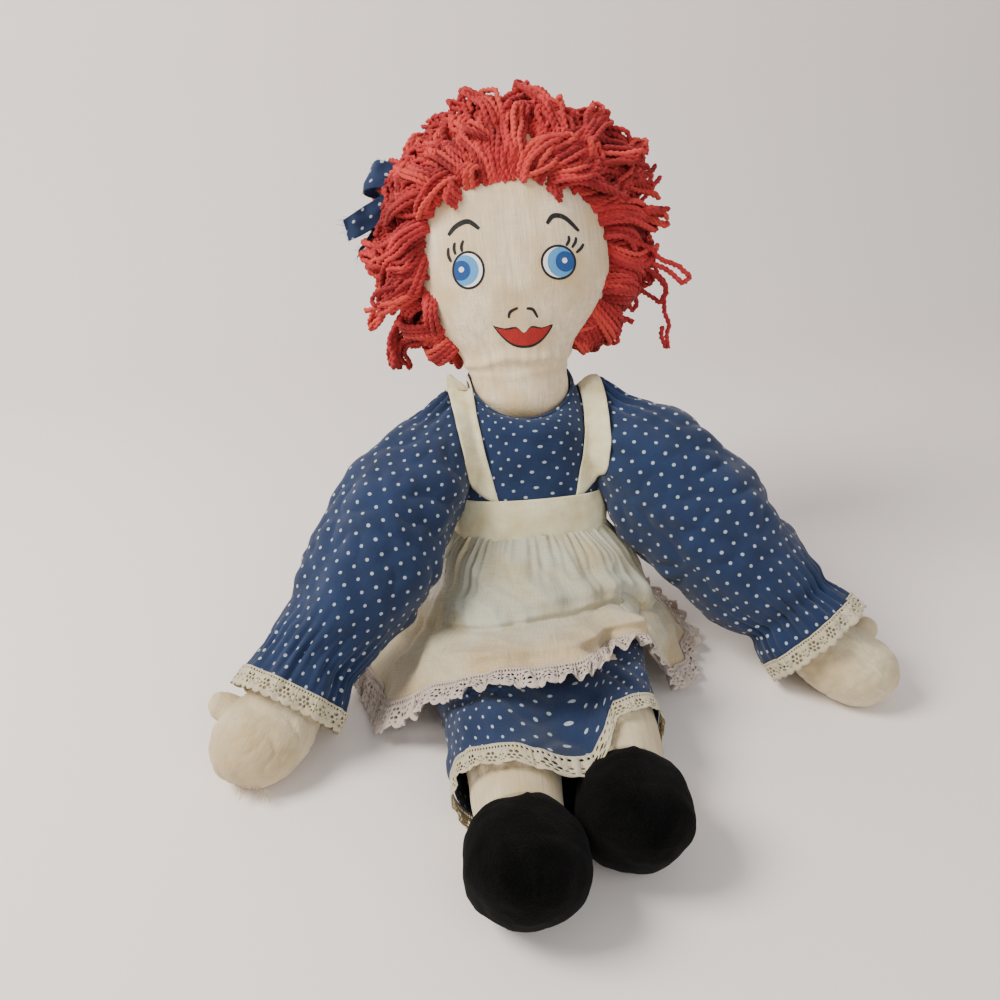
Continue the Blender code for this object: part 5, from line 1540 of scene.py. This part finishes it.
# Rows down the skirt after the waist: front and back as shares of its reach and of the lap's height,
# then its half-width, shift to the side and slant as shares of their own sizes, and its power
SKIRT_SHARES = (
    (-0.16, 1.36, 0.375, 0.78, 0.90, 0.00, 0.0, 2.4), (-0.25, 1.16, 0.350, 0.26, 0.97, 0.05, 0.0, 2.5),
    (-0.38, 1.06, 0.230, -0.06, 1.00, 0.15, 0.1, 2.7), (-0.53, 1.02, 0.010, -0.06, 1.00, 0.35, 0.25, 2.9),
    (-0.67, 1.00, -0.340, -0.06, 0.99, 0.60, 0.5, 3.0), (-0.83, 0.99, -0.660, -0.06, 0.98, 0.85, 0.75, 3.0),
    (-1.00, 0.98, -0.970, -0.06, 0.97, 1.00, 1.0, 3.0), (-1.08, 0.975, -1.050, -0.06, 0.965, 1.05, 1.05, 3.0))


def skirt_rows():
    width, depth = torso_size(WAIST_UP)
    waist = SEAT + TORSO_UP * WAIST_UP
    front, back = waist + TORSO_FRONT * depth, waist - TORSO_FRONT * depth
    rows = [(front.y, front.z, back.y, back.z, width, 0, 0, TORSO_POWER)]
    for front_y, front_z, back_y, back_z, half, shift, slant, power in SKIRT_SHARES:
        rows.append((front_y * SKIRT_REACH, front_z * LAP_HEIGHT, back_y * SKIRT_REACH, back_z * LAP_HEIGHT,
                     half * SKIRT_HALF_WIDTH, -shift * SKIRT_SHIFT, slant * HEM_SLANT, power))
    return rows


def wave_of(low, high, seed):
    """Irregular folds as a function of an angle, looked up in a table."""
    table = folds(np.linspace(0, 2 * math.pi, 1440, endpoint=False), low, high, seed)
    return lambda angle: float(table[int(angle / (2 * math.pi) * 1440) % 1440])


SKIRT_ROWS = skirt_rows()
long_folds = wave_of(6, 12, 81)
waist_gathers = wave_of(26, 44, 82)


def skirt_point(place, angle, offset):
    """A point at an angle round the skirt's row at a place, pushed out of the row by an offset."""
    front_y, front_z, back_y, back_z, half, shift, slant, power = smooth_row(SKIRT_ROWS, place)
    front, back = Vector((shift, front_y, front_z)), Vector((shift, back_y, back_z))
    middle, rise = (front + back) / 2, (front - back) / 2
    x, y = rounded(angle, half + offset, rise.length + offset, power)
    point = middle + ACROSS * x + rise.normalized() * y
    low = min(max(1 - point.z / 0.045, 0), 1)
    point.x -= SIDE_FLARE * low * math.exp(-((place - 4.4) / 1.0) ** 2) * max(-math.cos(angle), 0)
    share = (point.x - shift) / half
    point.y += slant * float(np.interp(share, HEM_LINE_SHARES, HEM_LINE_DROPS))
    return point


def skirt_fall(place, angle):
    """How far the skirt stands out of its plain form: gathers, long folds and the dip between the legs."""
    down = min(place / HEM_ROW, 1.1)
    top = max(math.sin(angle), 0)
    between = math.exp(-((math.cos(angle) - 0.04) / 0.20) ** 2) * top
    dip = -DIP_BETWEEN_LEGS * between * min(max(down - 0.40, 0) / 0.5, 1)
    gathers = 0.0011 * math.exp(-down / 0.10) * min(down * 30, 1) * waist_gathers(angle)
    return dip + 0.0006 + 0.0016 * long_folds(angle) * down + gathers


def skirt_lift(place, angle):
    """The skirt's fall with its rumples, as the apron over it meets them."""
    point = skirt_point(place, angle, COTTON)
    low = min(max(place / HEM_ROW - 0.02, 0) / 0.3, 1)
    broad = noise.noise(point / 0.03 + Vector((22, 3, 1))) * 0.0040 * low
    fine = noise.noise(point / 0.012 + Vector((24, 1, 3))) * 0.0008
    crease = max(0.25 - abs(noise.noise(point / 0.024 + Vector((7, 9, 2)))), 0) * 0.007 * low
    deepest = 0.0002 - 0.016 * max(math.sin(angle), 0) ** 4
    return max(skirt_fall(place, angle) + broad + fine - crease, deepest)


def skirt_grid(rows=110, sides=260):
    grid = []
    for row in range(rows):
        place = SKIRT_TOP + (HEM_ROW - SKIRT_TOP) * row / (rows - 1)
        line = []
        for step in range(sides):
            angle = 2 * math.pi * step / sides
            point = skirt_point(place, angle, COTTON + skirt_lift(place, angle))
            point.z = max(point.z, 0.0006)
            line.append(point)
        grid.append(line)
    return np.array(grid)


def laced_hem(share, down):
    angle = 2 * math.pi * share
    offset = COTTON + skirt_lift(HEM_ROW, angle) + 0.0012 + 0.0012 * down * waist_gathers(angle * 0.5)
    point = skirt_point(HEM_ROW - 0.05 + down * 1.05, angle, offset)
    point.z = max(point.z, 0.0008)
    return tuple(point)


def bent_at_hips(piece, node):
    """Bakes a piece's place into its mesh and hides the solid it stands for."""
    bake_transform(piece)
    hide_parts(node)


skirt = cloth_piece("dress_skirt_tube", skirt_grid(), True, (0.42, 0.21), dress_cotton, thick=COTTON_THICK)
skirt_tree = touch_tree(skirt)
bent_at_hips(skirt, "dress_skirt")
hem_lace = lace_band("skirt_hem_eyelet_lace", eyelet_pattern, EYELET_CELL, EYELET_DEPTH, HEM_LACE_LENGTHS,
                     laced_hem, eyelet_lace)
bent_at_hips(hem_lace, "skirt_hem_lace")


def clear_of_skirt(point, gap):
    """Brings a point that is under the skirt's cloth out of it by the shortest of three ways."""
    best = None
    for way in (UP, ACROSS * math.copysign(1, point.x + SKIRT_SHIFT * 0.5), Vector((0, -0.96, 0.28))):
        last, start = None, point.copy()
        for _ in range(8):
            place, _, _, _ = skirt_tree.ray_cast(start, way, 0.06)
            if not place:
                break
            last, start = place, place + way * 0.00005
        if not last:
            return point
        far = (last - point).length
        if best is None or far < best[0]:
            best = (far, last + way * gap)
    return best[1]


# The apron: a waistband and two shoulder straps of firm cream cotton, and a gathered skirt of
# sheer voile that falls over the lap, with gathered lace sewn along its hem.
WAISTBAND_HEIGHT = 0.025
STRAP_WIDTH = 0.015
STRAP_AT_SHOULDER = 0.0445
STRAP_AT_WAIST = {"left": 0.0315, "right": 0.0345}
STRAP_COLUMNS = 13
CORNER_STEPS = 14
CORNER_COLUMNS = 9
APRON_CLEAR = 0.0042
APRON_FLARE = 0.052
APRON_LOWEST = 0.002
APRON_LENGTH = 0.115
LAP_FOLD_HEIGHT = 0.0105
APRON_LACE_WIDTH = 0.015
APRON_WHOLE_SHARE = 1 + APRON_LACE_WIDTH / APRON_LENGTH
BAND_COLOUR = linear(232, 225, 186)
BAND_STAIN = linear(205, 184, 128)

# Round the apron from its back edge on the left: angle in degrees, hem's row, flare and drop
APRON_SHARES = (
    (-52, 1.8, 0.45, 0.15), (-30, 2.5, 0.75, 0.60), (0, 3.3, 0.80, 0.95), (30, 4.35, 0.42, 0.85),
    (58, 4.7, 0.16, 0.06), (90, 5.15, 0.00, 0.00), (122, 5.2, 0.00, 0.00), (150, 4.75, 0.36, 0.30),
    (180, 4.2, 0.70, 1.00), (208, 3.2, 0.72, 0.60), (232, 1.9, 0.45, 0.10))

# The lap's folds, each as its height in lap folds, its place down the apron, its span and its power
LAP_FOLDS = ((1, 0.80, 0.075, 2), (0.8, 0.47, 0.08, 2), (-0.55, 0.63, 0.028, 1))


def band_cotton():
    """Firm cream cotton with its weave showing and yellowed patches."""
    finish = Finish("cream band cotton", 0.9, 0.2)
    place = finish.cloth()
    threads = finish.swing((place, (1900, 120, 1), 2, 0.8), (place, (120, 1900, 1), 2, 0.8))
    blotch = finish.swing((place, (60, 60, 1), 3, 3.2))
    shade = finish.mixed((blotch + 0.4).kept(), BAND_COLOUR, BAND_STAIN)
    shade = finish.mixed((threads * 1.2 + 0.35).kept(), shade, darker(BAND_COLOUR, 0.72))
    return finish.feed(height=threads, bump=0.0004, Base_Color=shade)


def voile():
    """Sheer cream voile: thin crossing threads that let the dress show through a little."""
    finish = Finish("sheer cream voile", 0.8, 0.25)
    finish.material.surface_render_method = "DITHERED"
    place = finish.cloth()
    threads = finish.swing((place, (1700, 90, 1), 2, 0.9), (place, (90, 1700, 1), 2, 0.7))
    blotch = finish.cloud(place, (26, 26, 1), 3) - 0.5
    length = finish.node("ShaderNodeSeparateXYZ", {}, {"Vector": place}, out="Y")
    low = ((length - 0.055) * 22).kept()
    shade = finish.mixed((blotch * 3.5 + 0.30).kept(), linear(214, 214, 194), linear(208, 194, 148))
    shade = finish.mixed((low * 0.85 + blotch * 1.6).kept(), shade, linear(203, 172, 124))
    shade = finish.mixed((threads * 1.2 + 0.3).kept(), shade, linear(172, 168, 142))
    cover = (threads * 0.9 + low * 0.24 + 0.66).kept()
    return finish.feed(height=threads, bump=0.0003, Base_Color=shade, Alpha=cover)


def waistband_grid():
    grid = []
    for row in range(26):
        share = row / 25
        roll = 0.0006 * math.sin(math.pi * share)
        low = WAIST_UP - 0.0032 + WAISTBAND_HEIGHT * 1.06 * share
        grid.append(torso_grid(low, low, 2, 180, 0.0034 + roll)[0])
    grid = np.array(grid)
    return pushed_out(grid, True, rumple(grid, 0.02, 31) * 0.0007 + rumple(grid, 0.008, 33) * 0.0004)


cream_cotton = band_cotton()
waistband = cloth_piece("apron_waistband_cloth", waistband_grid(), True, (0.30, WAISTBAND_HEIGHT),
                        cream_cotton, thick=0.0011)
fixed(waistband, "torso", "cream_voile", "apron_waistband")


def drag_folds(place, reach):
    """Soft creased folds that run slantwise down from the waist."""
    low = min(reach / 0.35, 1)
    slant = Vector((place.x + 0.35 * place.y, place.y * 0.45, place.z * 0.5))
    broad = noise.noise(slant / 0.021 + Vector((42, 5, 1)))
    sharp = 1 - abs(noise.noise(slant / 0.019 + Vector((11, 7, 4)))) * 2.6
    fine = noise.noise(place / 0.0085 + Vector((44, 2, 6)))
    return low * (broad * 0.0085 + max(sharp, 0) * 0.0042) + fine * 0.0006


apron_folds = wave_of(11, 19, 91)
fine_gathers = wave_of(58, 92, 92)
long_gathers = wave_of(30, 50, 93)


def apron_point(round_share, down):
    """A point of the apron: a share of the way round it, and down it, where 1 is its hem."""
    degrees, hem, flare, drop = smooth_row(APRON_SHARES, round_share * (len(APRON_SHARES) - 1))
    angle = math.radians(degrees)
    reach = min(down, 1)
    fall = 0.0024 * (1 + apron_folds(angle)) * reach ** 0.8
    gather = (0.0017 * fine_gathers(angle) * math.exp(-down / 0.18)
              + 0.0016 * long_gathers(angle) * math.exp(-down / 0.45))
    lie = down + 0.030 * math.sin(2.3 * angle + 0.6) + 0.018 * math.sin(5.1 * angle)
    over = max(math.sin(angle), 0)
    lap = sum(share * LAP_FOLD_HEIGHT * math.exp(-((lie - at) / span) ** 2) * over ** power
              for share, at, span, power in LAP_FOLDS)
    offset = 0.0022 + (APRON_CLEAR - 0.0010) * min(down * 4, 1) + fall + gather + lap
    offset += drag_folds(skirt_point(hem * down, angle, offset), reach)
    offset = max(offset, COTTON + skirt_lift(hem * down, angle) + 0.0016)
    point = skirt_point(hem * down, angle, offset)
    spread = (down / APRON_WHOLE_SHARE) ** 1.6
    outward = Vector((math.copysign(1, math.cos(angle)), max(-math.sin(angle), 0) * 0.8, 0)).normalized()
    point += outward * (APRON_FLARE * flare * spread)
    point.z += (APRON_LOWEST - point.z) * drop * spread
    point.z = max(point.z, 0.0012)
    return point


def apron_grid(rows=110, columns=420):
    grid = np.array([[apron_point(column / (columns - 1), row / (rows - 1)) for column in range(columns)]
                     for row in range(rows)])
    for row in grid:
        for column, point in enumerate(row):
            row[column] = clear_of_skirt(Vector(point) - Vector((0, 0, 0.0006)), 0.0018)
    grid[..., 2] = np.maximum(grid[..., 2], 0.0012)
    return grid


# The apron's lace: one length's size, and its holes as places along and down the band with half
# sizes, all in millimetres. The first six holes are a ring.
APRON_CELL = 12.0
APRON_LACE_DEPTH = 15.0
APRON_HOLES = [(6 + 2.6 * math.cos(turn), 7.4 + 2.6 * math.sin(turn), 1.0, 0.85) for turn in PETAL_TURNS]
APRON_HOLES += [(0.9, 5.2, 0.6, 0.8), (11.1, 5.2, 0.6, 0.8), (1.0, 8.4, 0.7, 1.1), (11.0, 8.4, 0.7, 1.1),
                (4.4, 12.0, 0.6, 0.5), (7.6, 12.0, 0.6, 0.5)]
APRON_HOLES += [(1.0 + 2.0 * step, 2.0, 0.6, 1.0) for step in range(6)]
HEM_SHARES = np.linspace(0, 1, 400)
HEM_LINE = np.array([apron_point(share, 1) for share in HEM_SHARES])
HEM_ARC = np.r_[0, np.cumsum(np.linalg.norm(np.diff(HEM_LINE, axis=0), axis=1))]
LACE_COUNT = int(HEM_ARC[-1] * 1.15 * 1000 / APRON_CELL)
LACE_TOP = 0.985
lace_ruffles = wave_of(40, 60, 95)


def laced_apron(share, down):
    """Where the apron's lace lies, ruffled along the hem."""
    round_share = float(np.interp(share * HEM_ARC[-1], HEM_ARC, HEM_SHARES))
    reach = LACE_TOP + down * (APRON_WHOLE_SHARE - LACE_TOP)
    point = apron_point(round_share, reach)
    beside = apron_point(min(round_share + 0.002, 1), reach) - apron_point(max(round_share - 0.002, 0), reach)
    below = apron_point(round_share, reach + 0.01) - apron_point(round_share, reach - 0.01)
    out = beside.cross(below)
    if out.length:
        out.normalize()
        if out.z < 0:
            out.negate()
    point += out * (0.0009 + 0.0030 * down * (lace_ruffles(share * 2 * math.pi) + 0.6))
    point = clear_of_skirt(point, 0.0016)
    point.z = max(point.z, 0.0014)
    return tuple(point)


sheer_voile = voile()
apron = cloth_piece("apron_voile_skirt", apron_grid(), False, (0.46, 0.108), sheer_voile, thick=0.0003)
bent_at_hips(apron, "apron_skirt")
apron_pattern = lace_cell(APRON_CELL, APRON_LACE_DEPTH, 1.7, APRON_HOLES, 1.6)
apron_thread = lace_thread("pinkish cream lace", linear(226, 208, 194), linear(206, 180, 160))
apron_lace = lace_band("apron_hem_gathered_lace", apron_pattern, APRON_CELL, APRON_LACE_DEPTH, LACE_COUNT,
                       laced_apron, apron_thread)
bent_at_hips(apron_lace, "apron_hem_lace")


sleeves = [bpy.data.objects[side + "_full_sleeve"] for side in SIDES]
clothes = touch_tree(bodice, *sleeves, binding, placket)


def lifted(reaches):
    """Lifts a strap's reaches out of their hollows: all ways round, then along it between its ends."""
    rows, columns = reaches.shape
    for _ in range(4):
        padded = np.pad(reaches, 1, mode="edge")
        around = sum(padded[a:rows + a, b:columns + b] for a in range(3) for b in range(3))
        reaches = np.maximum(reaches, around / 9)
    steps = np.arange(rows)
    free = np.clip((steps - 9) / 4, 0, 1) * np.clip((rows - 10 - steps) / 4, 0, 1)
    for _ in range(40):
        padded = np.pad(reaches, ((1, 1), (0, 0)), mode="edge")
        raised = np.maximum(reaches, (padded[:-2] + padded[2:]) / 2)
        reaches += (raised - reaches) * free[:, None]
    return reaches


def strap_grid(side, steps=90):
    """A strap from the waistband over the shoulder and down the back, laid on the clothes."""
    band_top = WAIST_UP + WAISTBAND_HEIGHT - 0.004
    heart = SEAT + TORSO_UP * (band_top + STRAP_WIDTH * 2)
    start = math.atan2(-STRAP_WIDTH * 2, torso_size(band_top)[1])
    asides = [STRAP_WIDTH * (column / (STRAP_COLUMNS - 1) - 0.5) for column in range(STRAP_COLUMNS)]
    middles, reaches = [], []
    for step in range(steps + 1):
        share = step / steps
        turn = start + (math.pi - 2 * start) * share
        outward = TORSO_FRONT * math.cos(turn) + TORSO_UP * math.sin(turn)
        over = math.sin(math.pi * share) ** 0.7 if 0 < share < 1 else 0
        x = SIDES[side] * (STRAP_AT_WAIST[side] + (STRAP_AT_SHOULDER - STRAP_AT_WAIST[side]) * over)
        line = []
        for aside in asides:
            across = ACROSS * (x + aside)
            place, _, _, _ = clothes.ray_cast(heart + across + outward * 0.2, -outward)
            line.append((place - heart - across).dot(outward) if place else 0)
        middles.append((x, outward))
        reaches.append(line)
    grid = np.array([[heart + ACROSS * (x + aside) + outward * (reach + 0.0011)
                      for aside, reach in zip(asides, line)]
                     for (x, outward), line in zip(middles, lifted(np.array(reaches)))])
    return pushed_out(grid, False, rumple(grid, 0.013, 51) * 0.0007)


def corner_grid(crest):
    """The end of the right strap's cloth, folded over into a corner that stands up."""
    grid = []
    for row in range(CORNER_STEPS):
        share = row / (CORNER_STEPS - 1)
        way = ACROSS * math.cos(0.9 * share) + TORSO_FRONT * math.sin(0.9 * share)
        middle = crest + ACROSS * (-0.001 - 0.0050 * share) + UP * (0.0006 + 0.0115 * share) \
            - TORSO_FRONT * (0.002 * share)
        half = 0.0072 * (1 - share) ** 0.7 + 0.0006
        line = []
        for column in range(CORNER_COLUMNS):
            curl = TORSO_FRONT * (0.0016 * math.cos(column * 0.9 + 3 * share))
            line.append(middle + way * (half * (column / 4 - 1)) + curl)
        grid.append(line)
    return np.array(grid)


for side in SIDES:
    grid = strap_grid(side)
    strap = cloth_piece(side + "_apron_strap", grid, False, (STRAP_WIDTH, 0.23), cream_cotton, thick=0.0008)
    fixed(strap, "torso", "cream_voile", "apron_strap_" + side)
crest = Vector(grid[40:50].reshape(-1, 3).mean(axis=0))
corner = cloth_piece("right_strap_folded_corner", corner_grid(crest), False, (0.014, 0.013), cream_cotton,
                     thick=0.0007)
fixed(corner, "torso", "cream_voile")

# The small hard parts: two shirt buttons on the placket, one on the waistband, and the elastic
# inside each sleeve. They keep the shapes of the solid model.
HARD_FINISHES = {"button": (linear(226, 222, 210), 0.28), "elastic": (linear(216, 210, 196), 0.8)}
for name, (colour, roughness) in HARD_FINISHES.items():
    look = plain_finish(name + " finish", colour, roughness)
    for node_name, solid in frame["nodes"].items():
        if name in node_name:
            solid.data.materials.clear()
            solid.data.materials.append(look)
